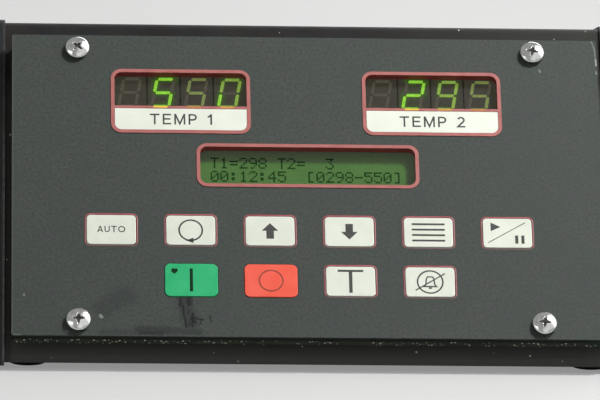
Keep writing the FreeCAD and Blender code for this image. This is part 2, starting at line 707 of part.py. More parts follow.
def build_display_board():
    hole = BOARD_SCREW_RADIUS + SCREW_CLEARANCE
    board = plate(0, 0, 2 * BOARD_HALF_WIDTH, 2 * BOARD_HALF_HEIGHT, BOARD_BACK, BOARD_FRONT)
    places = standoff_places()
    holes = [disc(x, y, hole, BOARD_BACK, BOARD_FRONT) for x, y in places]
    keep("display_board", on_panel(cut_all(board, holes)))
    grip = BOARD_FRONT + BOARD_SCREW_GRIP
    standoffs = []
    screws = []
    for x, y in places:
        post = disc(x, y, STANDOFF_RADIUS, BOARD_FRONT, PLATE_BACK)
        standoffs.append(on_panel(post.cut(disc(x, y, hole, BOARD_FRONT, grip + SCREW_CLEARANCE))))
        head = disc(x, y, BOARD_SCREW_HEAD_RADIUS, BOARD_BACK - BOARD_SCREW_HEAD_HEIGHT, BOARD_BACK)
        shank = disc(x, y, BOARD_SCREW_RADIUS, BOARD_BACK, grip)
        screws.append(on_panel(head.fuse(shank)))
    keep("board_standoffs", *standoffs)
    return screws


def build_panel_fasteners():
    screws = []
    nuts = []
    top = PANEL_SCREW_HEAD_HEIGHT
    tip = COVER_BACK - NUT_THICKNESS - PANEL_SCREW_TIP
    for (x, y), turn in zip(panel_screw_places(), PANEL_SCREW_TURNS):
        head = rim_rounded(disc(x, y, PANEL_SCREW_HEAD_RADIUS, 0, top), "z", top, PANEL_SCREW_HEAD_ROUND)
        head = head.cut(cross_recess(x, y, RECESS_LENGTH, RECESS_WIDTH, RECESS_DEPTH, top, turn))
        screws.append(on_panel(head.fuse(disc(x, y, PANEL_SCREW_RADIUS, tip, 0))))
        nut = hexagon(x, y, NUT_FLAT, COVER_BACK - NUT_THICKNESS, COVER_BACK)
        bore = disc(x, y, PANEL_SCREW_RADIUS + SCREW_CLEARANCE, COVER_BACK - NUT_THICKNESS, COVER_BACK)
        nuts.append(on_panel(nut.cut(bore)))
    keep("panel_screws", *screws)
    keep("panel_nuts", *nuts)


def cover_path():
    """The cover's outer line in side view, from the roof's back edge to the front lip's foot."""
    return [(BACK_Y, BACK_Z), (RIDGE_Y, RIDGE_Z), (0, LIP_TOP), (0, BASE_BOTTOM)]


def rod_places():
    """Y and Z of the tie rods in side view."""
    low = BASE_TOP + ROD_BASE_GAP + ROD_RADIUS
    return [(FRONT_ROD_BACK, low), (REAR_INSIDE - REAR_ROD_FORWARD, low),
            (RIDGE_Y + RIDGE_ROD_BACK, RIDGE_Z - RIDGE_ROD_DROP),
            (BACK_Y - ROOF_ROD_FORWARD, BACK_Z - ROOF_ROD_DROP)]


def build_cover():
    cover = bent_sheet(cover_path(), 0, SHEET, -SHEET_HALF, SHEET_HALF, BEND_RADIUS)
    holes = [panel_opening(COVER_BACK, COVER_FRONT)] + panel_screw_holes(COVER_BACK, COVER_FRONT)
    keep("case_cover", cut_all(cover, [on_panel(hole) for hole in holes]))


def build_cheeks():
    outline = [(0, BASE_BOTTOM), (BACK_Y, BASE_BOTTOM), (BACK_Y, BACK_Z), (RIDGE_Y, RIDGE_Z), (0, LIP_TOP)]
    radii = [CHEEK_FRONT_CORNER] + [CHEEK_CORNER] * 3 + [CHEEK_FRONT_CORNER]
    cheek = prism(offset_line(outline, CHEEK_LIP, True), INNER_HALF, OUTER_HALF, "x", radii)
    cheek = rim_rounded(cheek, "x", OUTER_HALF, CHEEK_EDGE_ROUND)
    groove_end = INNER_HALF + GROOVE_DEPTH
    grooves = [bent_sheet(cover_path(), GROOVE_CLEARANCE, SHEET + GROOVE_CLEARANCE, INNER_HALF, groove_end,
                          BEND_RADIUS - GROOVE_CLEARANCE)]
    grooves.append(block((INNER_HALF, 0, BASE_BOTTOM - GROOVE_CLEARANCE),
                         (groove_end, BACK_Y + GROOVE_CLEARANCE, BASE_TOP + GROOVE_CLEARANCE)))
    grooves.append(block((INNER_HALF, REAR_INSIDE - GROOVE_CLEARANCE, BASE_BOTTOM),
                         (groove_end, REAR_OUTSIDE + GROOVE_CLEARANCE, REAR_TOP + GROOVE_CLEARANCE)))
    radius = CHEEK_SCREW_RADIUS + SCREW_CLEARANCE
    holes = [disc(y, z, radius, INNER_HALF, OUTER_HALF, "x") for y, z in rod_places()]
    cheek = cut_all(cheek, grooves + holes)
    keep("right_cheek", cheek)
    keep("left_cheek", mirrored(cheek))


def cheek_screw(y, z, turn):
    top = CHEEK_SCREW_HEAD_HEIGHT
    head = rim_rounded(disc(0, 0, CHEEK_SCREW_HEAD_RADIUS, 0, top), "z", top, CHEEK_SCREW_HEAD_ROUND)
    recess = cross_recess(0, 0, CHEEK_RECESS_LENGTH, CHEEK_RECESS_WIDTH, CHEEK_RECESS_DEPTH, top, turn)
    screw = head.cut(recess).fuse(disc(0, 0, CHEEK_SCREW_RADIUS, -CHEEK_THICKNESS - CHEEK_SCREW_GRIP, 0))
    screw.Placement = Placement(Vector(OUTER_HALF, y, z), Rotation(Vector(0, 1, 0), 90))
    return screw


def build_rods():
    rods = []
    screws = []
    depth = CHEEK_SCREW_GRIP + SCREW_CLEARANCE
    for (y, z), turn in zip(rod_places(), CHEEK_SCREW_TURNS):
        rod = disc(y, z, ROD_RADIUS, -INNER_HALF, INNER_HALF, "x")
        bore = disc(y, z, CHEEK_SCREW_RADIUS + SCREW_CLEARANCE, INNER_HALF - depth, INNER_HALF, "x")
        rods.append(cut_all(rod, [bore, mirrored(bore)]))
        screw = cheek_screw(y, z, turn)
        screws += [screw, mirrored(screw)]
    keep("tie_rods", *rods)
    keep("cheek_screws", *screws)


def foot_places():
    across = INNER_HALF - FOOT_INSET_X
    return [(side * across, y) for side in (-1, 1) for y in (FOOT_FRONT_BACK, BACK_Y - FOOT_REAR_FORWARD)]


def chassis_screw(x, y, seat):
    """A screw through a foot or ear into the base, flush with the base's underside."""
    head = disc(x, y, CHASSIS_SCREW_HEAD_RADIUS, seat, seat + CHASSIS_SCREW_HEAD_HEIGHT)
    return head.fuse(disc(x, y, CHASSIS_SCREW_RADIUS, BASE_BOTTOM, seat))


def transformer_place():
    """Middle of the transformer, beside the power board and ahead of the rear panel."""
    side = power_board_corner()[0] - TRANSFORMER_SIDE_GAP
    return side - 3 * CORE_LIMB, REAR_INSIDE - TRANSFORMER_REAR_GAP


def transformer_screw_places():
    x, y = transformer_place()
    reach = 3 * CORE_LIMB + STRAP_THICKNESS + STRAP_FOOT / 2
    return [(x - reach, y), (x + reach, y)]


def relay_places():
    x = INNER_HALF - FOOT_INSET_X - FOOT_HEAD_RADIUS - RELAY_FOOT_GAP - RELAY_LENGTH / 2
    first = RELAY_FRONT_BACK + RELAY_WIDTH / 2
    return [(x, first + index * (RELAY_WIDTH + RELAY_GAP)) for index in range(RELAY_COUNT)]


def relay_screw_places():
    reach = RELAY_LENGTH / 2
    return [(x + side * reach, y) for x, y in relay_places() for side in (-1, 1)]


def header_place():
    """Y and Z of the display header's outer face in side view."""
    level = BOARD_BACK - HEADER_HEIGHT
    return (PANEL_CENTRE_Y + HEADER_SLOPE_POSITION * SLOPE_COS - level * SLOPE_SIN,
            PANEL_CENTRE_Z + HEADER_SLOPE_POSITION * SLOPE_SIN + level * SLOPE_COS)


def power_board_corner():
    """The power board's left front corner, set by the relays beside it and the rod behind it."""
    right = relay_places()[0][0] - RELAY_LENGTH / 2 - RELAY_EAR - POWER_BOARD_RELAY_GAP
    rear = REAR_INSIDE - REAR_ROD_FORWARD - ROD_RADIUS - POWER_BOARD_ROD_GAP
    return right - POWER_BOARD_WIDTH, rear - POWER_BOARD_LENGTH


def pillar_places():
    left, front = power_board_corner()
    return [(left + x, front + y) for x in (PILLAR_INSET, POWER_BOARD_WIDTH - PILLAR_INSET)
            for y in (PILLAR_INSET, POWER_BOARD_LENGTH - PILLAR_INSET)]


def build_base():
    base = block((-SHEET_HALF, SHEET + SHEET_GAP, BASE_BOTTOM), (SHEET_HALF, BACK_Y, BASE_TOP))
    holes = [disc(x, y, FOOT_STEM_RADIUS + FOOT_CLEARANCE, BASE_BOTTOM, BASE_TOP) for x, y in foot_places()]
    holes += [disc(x, y, CHASSIS_SCREW_RADIUS + SCREW_CLEARANCE, BASE_BOTTOM, BASE_TOP)
              for x, y in transformer_screw_places() + relay_screw_places()]
    holes += [disc(x, y, BOARD_SCREW_RADIUS + SCREW_CLEARANCE, BASE_BOTTOM, BASE_TOP)
              for x, y in pillar_places()]
    keep("base_plate", cut_all(base, holes))
    feet = []
    for x, y in foot_places():
        pad = rim_rounded(disc(x, y, FOOT_RADIUS, 0, BASE_BOTTOM), "z", 0, FOOT_EDGE_ROUND)
        stem = disc(x, y, FOOT_STEM_RADIUS, BASE_BOTTOM, BASE_TOP)
        head = disc(x, y, FOOT_HEAD_RADIUS, BASE_TOP, BASE_TOP + FOOT_HEAD_HEIGHT)
        feet.append(pad.fuse(stem).fuse(head))
    keep("rubber_feet", *feet)


def vent_slots():
    """Two groups of upright slots low on the rear panel."""
    slots = []
    for group in (-REAR_VENT_X, REAR_VENT_X):
        for index in range(VENT_COUNT):
            x = group + (index - (VENT_COUNT - 1) / 2) * VENT_PITCH
            slots.append(plate(x, REAR_VENT_HEIGHT, VENT_WIDTH, VENT_LENGTH, REAR_INSIDE, REAR_OUTSIDE,
                               VENT_CORNER, "y"))
    return slots


def gland_barrel_radius():
    return GLAND_CABLE_RADIUS + GLAND_SEAL_WALL + GLAND_CLEARANCE + GLAND_BARREL_WALL


def switch_body_size():
    """Half width and half height of the rocker switch's body behind its bezel."""
    return SWITCH_BEZEL_WIDTH / 2 - SWITCH_RIM / 2, SWITCH_BEZEL_HEIGHT / 2 - SWITCH_RIM / 2


def build_rear_panel():
    rear = block((-SHEET_HALF, REAR_INSIDE, BASE_TOP), (SHEET_HALF, REAR_OUTSIDE, REAR_TOP))
    gland_hole = gland_barrel_radius() + GLAND_CLEARANCE
    holes = [rear_disc(x, gland_hole, REAR_INSIDE, REAR_OUTSIDE) for x in GLAND_X]
    holes.append(rear_disc(FUSE_X, FUSE_BARREL_RADIUS + SCREW_CLEARANCE, REAR_INSIDE, REAR_OUTSIDE))
    half_wide, half_tall = [half + SCREW_CLEARANCE for half in switch_body_size()]
    holes.append(switch_block(half_wide, half_tall, REAR_INSIDE, REAR_OUTSIDE))
    keep("rear_panel", cut_all(rear, holes + vent_slots()))


def rear_disc(x, radius, low, high):
    """A round piece square to the rear panel, on the row of fittings."""
    return disc(x, REAR_ROW_HEIGHT, radius, low, high, "y")


def build_glands():
    barrel = gland_barrel_radius()
    inner_end = REAR_INSIDE - GLAND_INSIDE_LENGTH
    flange_end = REAR_OUTSIDE + GLAND_FLANGE_THICKNESS
    barrel_end = flange_end + GLAND_OUTSIDE_LENGTH
    cap_shoulder = barrel_end + GLAND_CLEARANCE
    cap_end = cap_shoulder + GLAND_CAP_END
    cap_radius = barrel + GLAND_CLEARANCE + GLAND_CAP_WALL
    taper_start = cap_end - GLAND_CAP_TAPER
    seal_start = cap_shoulder - GLAND_SEAL_LENGTH
    bodies = []
    caps = []
    seals = []
    for x in GLAND_X:
        flange = hexagon(x, REAR_ROW_HEIGHT, GLAND_FLANGE_FLAT, REAR_OUTSIDE, flange_end, "y")
        body = rear_disc(x, barrel, inner_end, barrel_end).fuse(flange)
        bodies.append(body.cut(rear_disc(x, barrel - GLAND_BARREL_WALL, inner_end, barrel_end)))
        nose = Part.makeCone(cap_radius, cap_radius - GLAND_CAP_TAPER, GLAND_CAP_TAPER,
                             Vector(x, taper_start, REAR_ROW_HEIGHT), Vector(0, 1, 0))
        cap = rear_disc(x, cap_radius, flange_end + GLAND_CLEARANCE, taper_start).fuse(nose)
        cap = cap.cut(rear_disc(x, barrel + GLAND_CLEARANCE, flange_end, cap_shoulder))
        caps.append(cap.cut(rear_disc(x, GLAND_CABLE_RADIUS + GLAND_MOUTH_GAP, cap_shoulder, cap_end)))
        seal = rear_disc(x, GLAND_CABLE_RADIUS + GLAND_SEAL_WALL, seal_start, cap_shoulder)
        seals.append(seal.cut(rear_disc(x, GLAND_CABLE_RADIUS, seal_start, cap_shoulder)))
    keep("gland_bodies", *bodies)
    keep("gland_caps", *caps)
    keep("gland_seals", *seals)


def build_lock_nuts():
    low = REAR_INSIDE - LOCK_NUT_THICKNESS
    nuts = []
    for x, barrel in [(x, gland_barrel_radius()) for x in GLAND_X] + [(FUSE_X, FUSE_BARREL_RADIUS)]:
        nut = hexagon(x, REAR_ROW_HEIGHT, barrel + LOCK_NUT_RIM, low, REAR_INSIDE, "y")
        nuts.append(nut.cut(rear_disc(x, barrel + GLAND_CLEARANCE, low, REAR_INSIDE)))
    keep("lock_nuts", *nuts)


def build_fuse():
    flange_end = REAR_OUTSIDE + FUSE_FLANGE_THICKNESS
    barrel = rear_disc(FUSE_X, FUSE_BARREL_RADIUS, REAR_OUTSIDE - FUSE_BARREL_LENGTH, flange_end)
    body = barrel.fuse(rear_disc(FUSE_X, FUSE_FLANGE_RADIUS, REAR_OUTSIDE, flange_end))
    plug_end = flange_end - FUSE_CAP_PLUG
    fuse_high = plug_end + FUSE_CAP_GRIP
    fuse_low = fuse_high - FUSE_LENGTH
    keep("fuse_holder", body.cut(rear_disc(FUSE_X, FUSE_BORE_RADIUS, fuse_low - FUSE_END_GAP, flange_end)))
    fuse = rim_rounded(rear_disc(FUSE_X, FUSE_RADIUS, fuse_low, fuse_high), "y", fuse_low, FUSE_RIM_ROUND)
    keep("fuse_cartridge", fuse)
    cap_low = flange_end + FUSE_CAP_GAP
    cap_high = cap_low + FUSE_CAP_LENGTH
    slot_low = cap_high - FUSE_CAP_SLOT_DEPTH
    cuts = [plate(FUSE_X, REAR_ROW_HEIGHT, FUSE_CAP_SLOT, 2 * FUSE_CAP_RADIUS, slot_low, cap_high, 0, "y")]
    for index in range(FUSE_CAP_FLUTES):
        angle = 2 * math.pi * (index + 0.5) / FUSE_CAP_FLUTES
        across, up = FUSE_CAP_RADIUS * math.cos(angle), FUSE_CAP_RADIUS * math.sin(angle)
        cuts.append(disc(FUSE_X + across, REAR_ROW_HEIGHT + up, FUSE_FLUTE_RADIUS, cap_low, cap_high, "y"))
    knob = cut_all(rear_disc(FUSE_X, FUSE_CAP_RADIUS, cap_low, cap_high), cuts)
    plug = rear_disc(FUSE_X, FUSE_BORE_RADIUS - FUSE_CAP_GAP, plug_end, cap_low)
    socket = rear_disc(FUSE_X, FUSE_RADIUS + FUSE_CLEARANCE, plug_end, fuse_high)
    keep("fuse_cap", knob.fuse(plug).cut(socket))


def rocker_pivot():
    """Y of the rocker's pivot line; its Z is the rear row's height."""
    return REAR_OUTSIDE + SWITCH_BEZEL_THICKNESS - ROCKER_PIVOT_DEPTH


def switch_block(half_wide, half_tall, low, high, corner=0.0):
    """A rectangular piece square to the rear panel, in the middle of the rocker switch."""
    return plate(SWITCH_X, REAR_ROW_HEIGHT, 2 * half_wide, 2 * half_tall, low, high, corner, "y")


def build_switch():
    half_wide, half_tall = switch_body_size()
    bezel_end = REAR_OUTSIDE + SWITCH_BEZEL_THICKNESS
    cavity_wide = half_wide - SWITCH_BODY_WALL
    cavity_tall = half_tall - SWITCH_BODY_WALL
    bezel = switch_block(SWITCH_BEZEL_WIDTH / 2, SWITCH_BEZEL_HEIGHT / 2, REAR_OUTSIDE, bezel_end,
                         SWITCH_BEZEL_CORNER)
    body = switch_block(half_wide, half_tall, REAR_OUTSIDE - SWITCH_BODY_DEPTH, REAR_OUTSIDE)
    cavity = switch_block(cavity_wide, cavity_tall, bezel_end - ROCKER_CAVITY_DEPTH, bezel_end)
    pin_end = cavity_wide + ROCKER_PIN_REACH
    pin_hole = disc(rocker_pivot(), REAR_ROW_HEIGHT, ROCKER_PIN_RADIUS + ROCKER_PIN_CLEARANCE,
                    SWITCH_X - pin_end, SWITCH_X + pin_end, "x")
    keep("switch_body", body.fuse(bezel).cut(cavity).cut(pin_hole))
    keep("power_rocker", rocker(cavity_wide - ROCKER_GAP, cavity_tall - ROCKER_GAP, pin_end - ROCKER_GAP))


def rocker(half_wide, half_tall, pin_end):
    """A paddle with two faces at a shallow angle, lying with its upper end pressed in."""
    lean = math.radians(ROCKER_ANGLE)
    reach = half_tall * math.cos(lean)
    crown = ROCKER_PIVOT_DEPTH + ROCKER_SHOW
    end = crown - reach * math.tan(lean)
    foot = reach - (end + ROCKER_BACK) * math.tan(lean)
    outline = [(crown, 0), (end, reach), (-ROCKER_BACK, foot), (-ROCKER_BACK, -foot), (end, -reach)]
    radii = [ROCKER_CROWN_ROUND, ROCKER_EDGE_ROUND, 0, 0, ROCKER_EDGE_ROUND]
    paddle = prism(outline, -half_wide, half_wide, "x", radii)
    shape = paddle.fuse(disc(0, 0, ROCKER_PIN_RADIUS, -pin_end, pin_end, "x"))
    shape.Placement = Placement(Vector(SWITCH_X, rocker_pivot(), REAR_ROW_HEIGHT),
                                Rotation(Vector(1, 0, 0), ROCKER_ANGLE))
    return shape


def build_transformer():
    """A core of scrapless laminations: six limbs wide, five tall, with windows of one limb by three."""
    x, y = transformer_place()
    limb = CORE_LIMB
    height = 5 * limb
    front, rear = y - CORE_STACK / 2, y + CORE_STACK / 2
    core = block((x - 3 * limb, front, BASE_TOP), (x + 3 * limb, rear, BASE_TOP + height))
    windows = [plate(x + side * 1.5 * limb, BASE_TOP + height / 2, limb, 3 * limb, front, rear, 0, "y")
               for side in (-1, 1)]
    keep("transformer_core", cut_all(core, windows))
    gap = COIL_CLEARANCE
    reach = CORE_STACK / 2 + COIL_BULGE
    low, high = BASE_TOP + limb + gap, BASE_TOP + height - limb - gap
    coil = plate(x, y, 4 * limb - 2 * gap, 2 * reach, low, high, limb / 2)
    limb_hole = plate(x, y, 2 * (limb + gap), CORE_STACK + 2 * gap, low, high)
    keep("transformer_coil", coil.cut(limb_hole))
    top = BASE_TOP + height
    side = x - 3 * limb
    far = x + 3 * limb
    path = [(far + STRAP_THICKNESS + STRAP_FOOT, BASE_TOP + STRAP_THICKNESS),
            (far + STRAP_THICKNESS, BASE_TOP + STRAP_THICKNESS),
            (far + STRAP_THICKNESS, top + STRAP_THICKNESS), (side - STRAP_THICKNESS, top + STRAP_THICKNESS),
            (side - STRAP_THICKNESS, BASE_TOP + STRAP_THICKNESS),
            (side - STRAP_THICKNESS - STRAP_FOOT, BASE_TOP + STRAP_THICKNESS)]
    inside = offset_line(path, -STRAP_THICKNESS, False)
    strap = prism(path + inside[::-1], y - STRAP_WIDTH / 2, y + STRAP_WIDTH / 2, "y")
    holes = [disc(px, py, CHASSIS_SCREW_RADIUS + SCREW_CLEARANCE, BASE_TOP, BASE_TOP + STRAP_THICKNESS)
             for px, py in transformer_screw_places()]
    keep("transformer_strap", cut_all(strap, holes))


def build_relays():
    top = BASE_TOP + RELAY_HEIGHT
    pocket_floor = top - TERMINAL_DEPTH
    head_top = pocket_floor + TERMINAL_HEAD_HEIGHT
    relays = []
    terminals = []
    hole = CHASSIS_SCREW_RADIUS + SCREW_CLEARANCE
    for x, y in relay_places():
        relay = plate(x, y, RELAY_LENGTH, RELAY_WIDTH, BASE_TOP, top, RELAY_CORNER)
        for end in (x - RELAY_LENGTH / 2, x + RELAY_LENGTH / 2):
            ear_top = BASE_TOP + RELAY_EAR_THICKNESS
            notch = plate(end, y, 2 * RELAY_EAR, RELAY_EAR_WIDTH, BASE_TOP, top)
            ear = plate(end, y, 2 * RELAY_EAR, RELAY_EAR_WIDTH, BASE_TOP, ear_top)
            relay = relay.cut(notch).fuse(ear).cut(disc(end, y, hole, BASE_TOP, ear_top))
        for side_x in (-1, 1):
            for side_y in (-1, 1):
                tx = x + side_x * (RELAY_LENGTH / 2 - TERMINAL_INSET)
                ty = y + side_y * (RELAY_WIDTH / 2 - TERMINAL_INSET)
                relay = relay.cut(disc(tx, ty, TERMINAL_POCKET_RADIUS, pocket_floor, top))
                terminals.append(disc(tx, ty, TERMINAL_HEAD_RADIUS, pocket_floor, head_top))
        relays.append(relay)
    keep("solid_state_relays", *relays)
    keep("relay_terminals", *terminals)
    screws = [chassis_screw(x, y, BASE_TOP + STRAP_THICKNESS) for x, y in transformer_screw_places()]
    screws += [chassis_screw(x, y, BASE_TOP + RELAY_EAR_THICKNESS) for x, y in relay_screw_places()]
    keep("chassis_screws", *screws)


def build_power_board():
    left, front = power_board_corner()
    low = BASE_TOP + PILLAR_HEIGHT
    top = low + BOARD_THICKNESS
    hole = BOARD_SCREW_RADIUS + SCREW_CLEARANCE
    places = pillar_places()
    board = block((left, front, low), (left + POWER_BOARD_WIDTH, front + POWER_BOARD_LENGTH, top))
    keep("power_board", cut_all(board, [disc(x, y, hole, low, top) for x, y in places]))
    pillars = []
    screws = []
    for x, y in places:
        pillars.append(disc(x, y, PILLAR_RADIUS, BASE_TOP, low).cut(disc(x, y, hole, BASE_TOP, low)))
        head = disc(x, y, BOARD_SCREW_HEAD_RADIUS, top, top + BOARD_SCREW_HEAD_HEIGHT)
        screws.append(head.fuse(disc(x, y, BOARD_SCREW_RADIUS, BASE_BOTTOM, top)))
    keep("power_board_pillars", *pillars)
    row = front + POWER_BOARD_LENGTH - CAPACITOR_INSET
    can_top = top + CAPACITOR_HEIGHT
    capacitors = []
    for index in range(CAPACITOR_COUNT):
        x = left + POWER_BOARD_WIDTH - CAPACITOR_INSET - index * CAPACITOR_PITCH
        can = disc(x, row, CAPACITOR_RADIUS, top, can_top)
        capacitors.append(rim_rounded(can, "z", can_top, CAPACITOR_EDGE_ROUND))
    keep("filter_capacitors", *capacitors)
    x = left + BUZZER_INSET
    buzzer_top = top + BUZZER_HEIGHT
    sound_hole = disc(x, row, BUZZER_HOLE_RADIUS, buzzer_top - BUZZER_HOLE_DEPTH, buzzer_top)
    keep("alarm_buzzer", disc(x, row, BUZZER_RADIUS, top, buzzer_top).cut(sound_hole))
    return screws


def build_ribbon():
    board_top = BASE_TOP + PILLAR_HEIGHT + BOARD_THICKNESS
    start = header_place()
    end = (power_board_corner()[1] + HEADER_EDGE, board_top + HEADER_HEIGHT)
    upper_end = BOARD_BACK - HEADER_HEIGHT
    upper = plate(0, HEADER_SLOPE_POSITION, HEADER_LENGTH, HEADER_WIDTH, upper_end, BOARD_BACK)
    lower = plate(0, end[0], HEADER_LENGTH, HEADER_WIDTH, board_top, end[1])
    keep("ribbon_headers", on_panel(upper), lower)
    bend = (end[0], start[1] - (end[0] - start[0]) * SLOPE_COS / SLOPE_SIN)
    half = RIBBON_THICKNESS / 2
    path = [end, bend, start]
    keep("ribbon_cable", bent_sheet(path, half, half, -RIBBON_WIDTH / 2, RIBBON_WIDTH / 2, RIBBON_BEND))


def build_all():
    build_panel()
    build_trims()
    build_digits()
    build_text_display()
    build_keys()
    screws = build_display_board()
    build_panel_fasteners()
    build_cover()
    build_cheeks()
    build_rods()
    build_base()
    build_rear_panel()
    build_glands()
    build_lock_nuts()
    build_fuse()
    build_switch()
    build_transformer()
    build_relays()
    keep("board_screws", *screws, *build_power_board())
    build_ribbon()


def centre_shift():
    """How far the console moves along Y to stand with its middle over the origin."""
    everything = Part.makeCompound([solid for solids in PIECES.values() for solid in solids])
    box = everything.optimalBoundingBox(False)
    return -(box.YMin + box.YMax) / 2


def export_all():
    os.makedirs("parts", exist_ok=True)
    shift = Vector(0, centre_shift(), 0)
    for name, solids in PIECES.items():
        moved = [solid.translated(shift) for solid in solids]
        shape = moved[0] if len(moved) == 1 else Part.makeCompound(moved)
        shape.exportStep("parts/" + name + ".step")


build_all()
export_all()
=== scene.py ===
import json
import math

import bmesh
import bpy
from mathutils import Matrix, Vector
from mathutils.bvhtree import BVHTree


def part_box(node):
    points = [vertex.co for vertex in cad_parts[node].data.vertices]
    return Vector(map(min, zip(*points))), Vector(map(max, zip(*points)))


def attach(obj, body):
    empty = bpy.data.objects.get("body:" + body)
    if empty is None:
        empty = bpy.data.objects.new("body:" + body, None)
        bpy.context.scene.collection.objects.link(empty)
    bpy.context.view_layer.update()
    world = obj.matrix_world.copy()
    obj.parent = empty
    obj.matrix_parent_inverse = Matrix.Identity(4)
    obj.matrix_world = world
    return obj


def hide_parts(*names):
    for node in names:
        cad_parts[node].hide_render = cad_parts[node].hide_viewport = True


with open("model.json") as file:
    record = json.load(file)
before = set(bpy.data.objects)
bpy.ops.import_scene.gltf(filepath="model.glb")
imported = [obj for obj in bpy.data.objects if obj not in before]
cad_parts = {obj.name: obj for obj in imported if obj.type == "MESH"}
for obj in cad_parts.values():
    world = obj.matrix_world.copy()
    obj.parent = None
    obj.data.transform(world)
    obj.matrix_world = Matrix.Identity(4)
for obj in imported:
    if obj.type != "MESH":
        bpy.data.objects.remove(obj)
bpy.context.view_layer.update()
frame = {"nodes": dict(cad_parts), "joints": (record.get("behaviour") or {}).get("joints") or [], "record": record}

# Looks of a reflow oven's control console. Sizes are millimetres unless a name says otherwise.
# Panel millimetres run to the right along the panel, up its slope and out of its face,
# from the middle of its printed face. FACE turns them into the frame's metres.
MM = 0.001
PANEL_RIGHT = Vector((1.0, 0.0, 0.0))
KEY_PRESS = next(joint for joint in frame["joints"] if joint["name"] == "key_on_press")
PANEL_OUT = -Vector(KEY_PRESS["axis"]).normalized()
PANEL_UP = PANEL_OUT.cross(PANEL_RIGHT)
PANEL_TURN = Matrix((PANEL_RIGHT, PANEL_UP, PANEL_OUT)).transposed()
UNMOVED = Matrix.Identity(4)


def reach(points):
    """Lowest and highest corner of some points."""
    columns = list(zip(*points))
    return Vector(map(min, columns)), Vector(map(max, columns))


def face_axes():
    """Panel millimetres as axes in the frame."""
    vertices = frame["nodes"]["panel_overlay"].data.vertices
    low, high = reach([PANEL_TURN.transposed() @ vertex.co for vertex in vertices])
    middle = Vector(((low.x + high.x) / 2, (low.y + high.y) / 2, high.z))
    return Matrix.Translation(PANEL_TURN @ middle) @ PANEL_TURN.to_4x4() @ Matrix.Scale(MM, 4)


FACE = face_axes()
OFF_FACE = FACE.inverted()


def panel_reach(node, side=0):
    """Lowest and highest corner, in panel millimetres, of a node or of its left (-1) or right (1) pieces."""
    points = [OFF_FACE @ vertex.co for vertex in frame["nodes"][node].data.vertices]
    return reach([point for point in points if point.x * side >= 0])


def panel_middle(node, side=0):
    low, high = panel_reach(node, side)
    return (low + high) / 2


# Print on the panel and its keys, and how it is drawn
PRINT = 0.03
CIRCLE_STEPS = 48
WELD = 1e-5
STROKE_STEP = 0.002
MITRE_LIMIT = 0.4
TRIM_BAR = 1.1
TRIM_FACE = (-0.15, 0.05)
PANEL_CAST = 0.4
LABEL_WORDS = ((-1, "left", "TEMP 1"), (1, "right", "TEMP 2"))
LABEL_CAPITALS = 4.75
LABEL_LINE = 0.66
LABEL_GAP = 1.25
ROUND_LETTERS = "O"

# Printed outlines of the white keys, with the width and strength of the wear on their edges
WHITE_KEYS = ("auto", "repeat", "up", "down", "menu", "run_pause", "temperature", "alarm_off")
KEY_FLANGE = 1.1
KEY_HOLE_GAP = 0.2
OUTLINE_LINE = 0.6
OUTLINE_CORNER = 2.0
OUTLINE_STEPS = 6
LOWER_WEAR = (1.1, 0.85)
SIDE_WEAR = (0.8, 0.35)

# Digits, slanted, each of seven bars
DIGIT_HEIGHT = 13.5
DIGIT_WIDTH = 7.85
DIGIT_GAP = 0.2
DIGIT_SIDE_STEP = 0.25
DIGIT_SLANT = math.tan(math.radians(10.0))
BAR_WIDTH = 1.25
BAR_GAP = 0.35
BAR_POINT = 0.45
BAR_ACROSS = (DIGIT_WIDTH - BAR_WIDTH) / 2
BAR_STEP = (DIGIT_HEIGHT - BAR_WIDTH) / 4
BARS = {"a": (0, 2), "b": (1, 1), "c": (1, -1), "d": (0, -2), "e": (-1, -1), "f": (-1, 1), "g": (0, 0)}
FLAT_BARS = "adg"
LOWEST_BAR = "d"
NUMERALS = {"": "", "0": "abcdef", "2": "abged", "5": "afgcd", "9": "abcdfg"}
READINGS = {
    "left_digit_modules": (("", ""), ("5", "bright"), ("5", "dim"), ("0", "middling")),
    "right_digit_modules": (("", ""), ("2", "bright"), ("9", "middling"), ("5", "dim")),
}
BRIGHTER_BARS = {("left_digit_modules", 3): "e"}
BAR_SHADE = 0.85

# Light of the digits: tint, strength and share of the tint in the plastic of a bar,
# tint and strength on the trim below, and width and strength of the halo about a bar
BAR_LIGHTS = {
    "bright": ((150, 222, 66), 0.85, 0.15),
    "middling": ((144, 178, 76), 0.8, 0.2),
    "dim": ((128, 142, 80), 0.8, 0.2),
}
TRIM_GLOWS = {
    "bright": ((216, 180, 62), 0.55),
    "middling": ((196, 146, 62), 0.4),
    "dim": ((186, 122, 66), 0.35),
}
HALOS = {"bright": (2.5, 0.6), "middling": (2.0, 0.3)}
GLOW_WIDTH = 0.7
GLOW_EDGE = 0.05
GLOW_TAPER = (0.3, 0.5)
SEAM_WIDTH = 0.5
SEAM_STRENGTH = 0.75

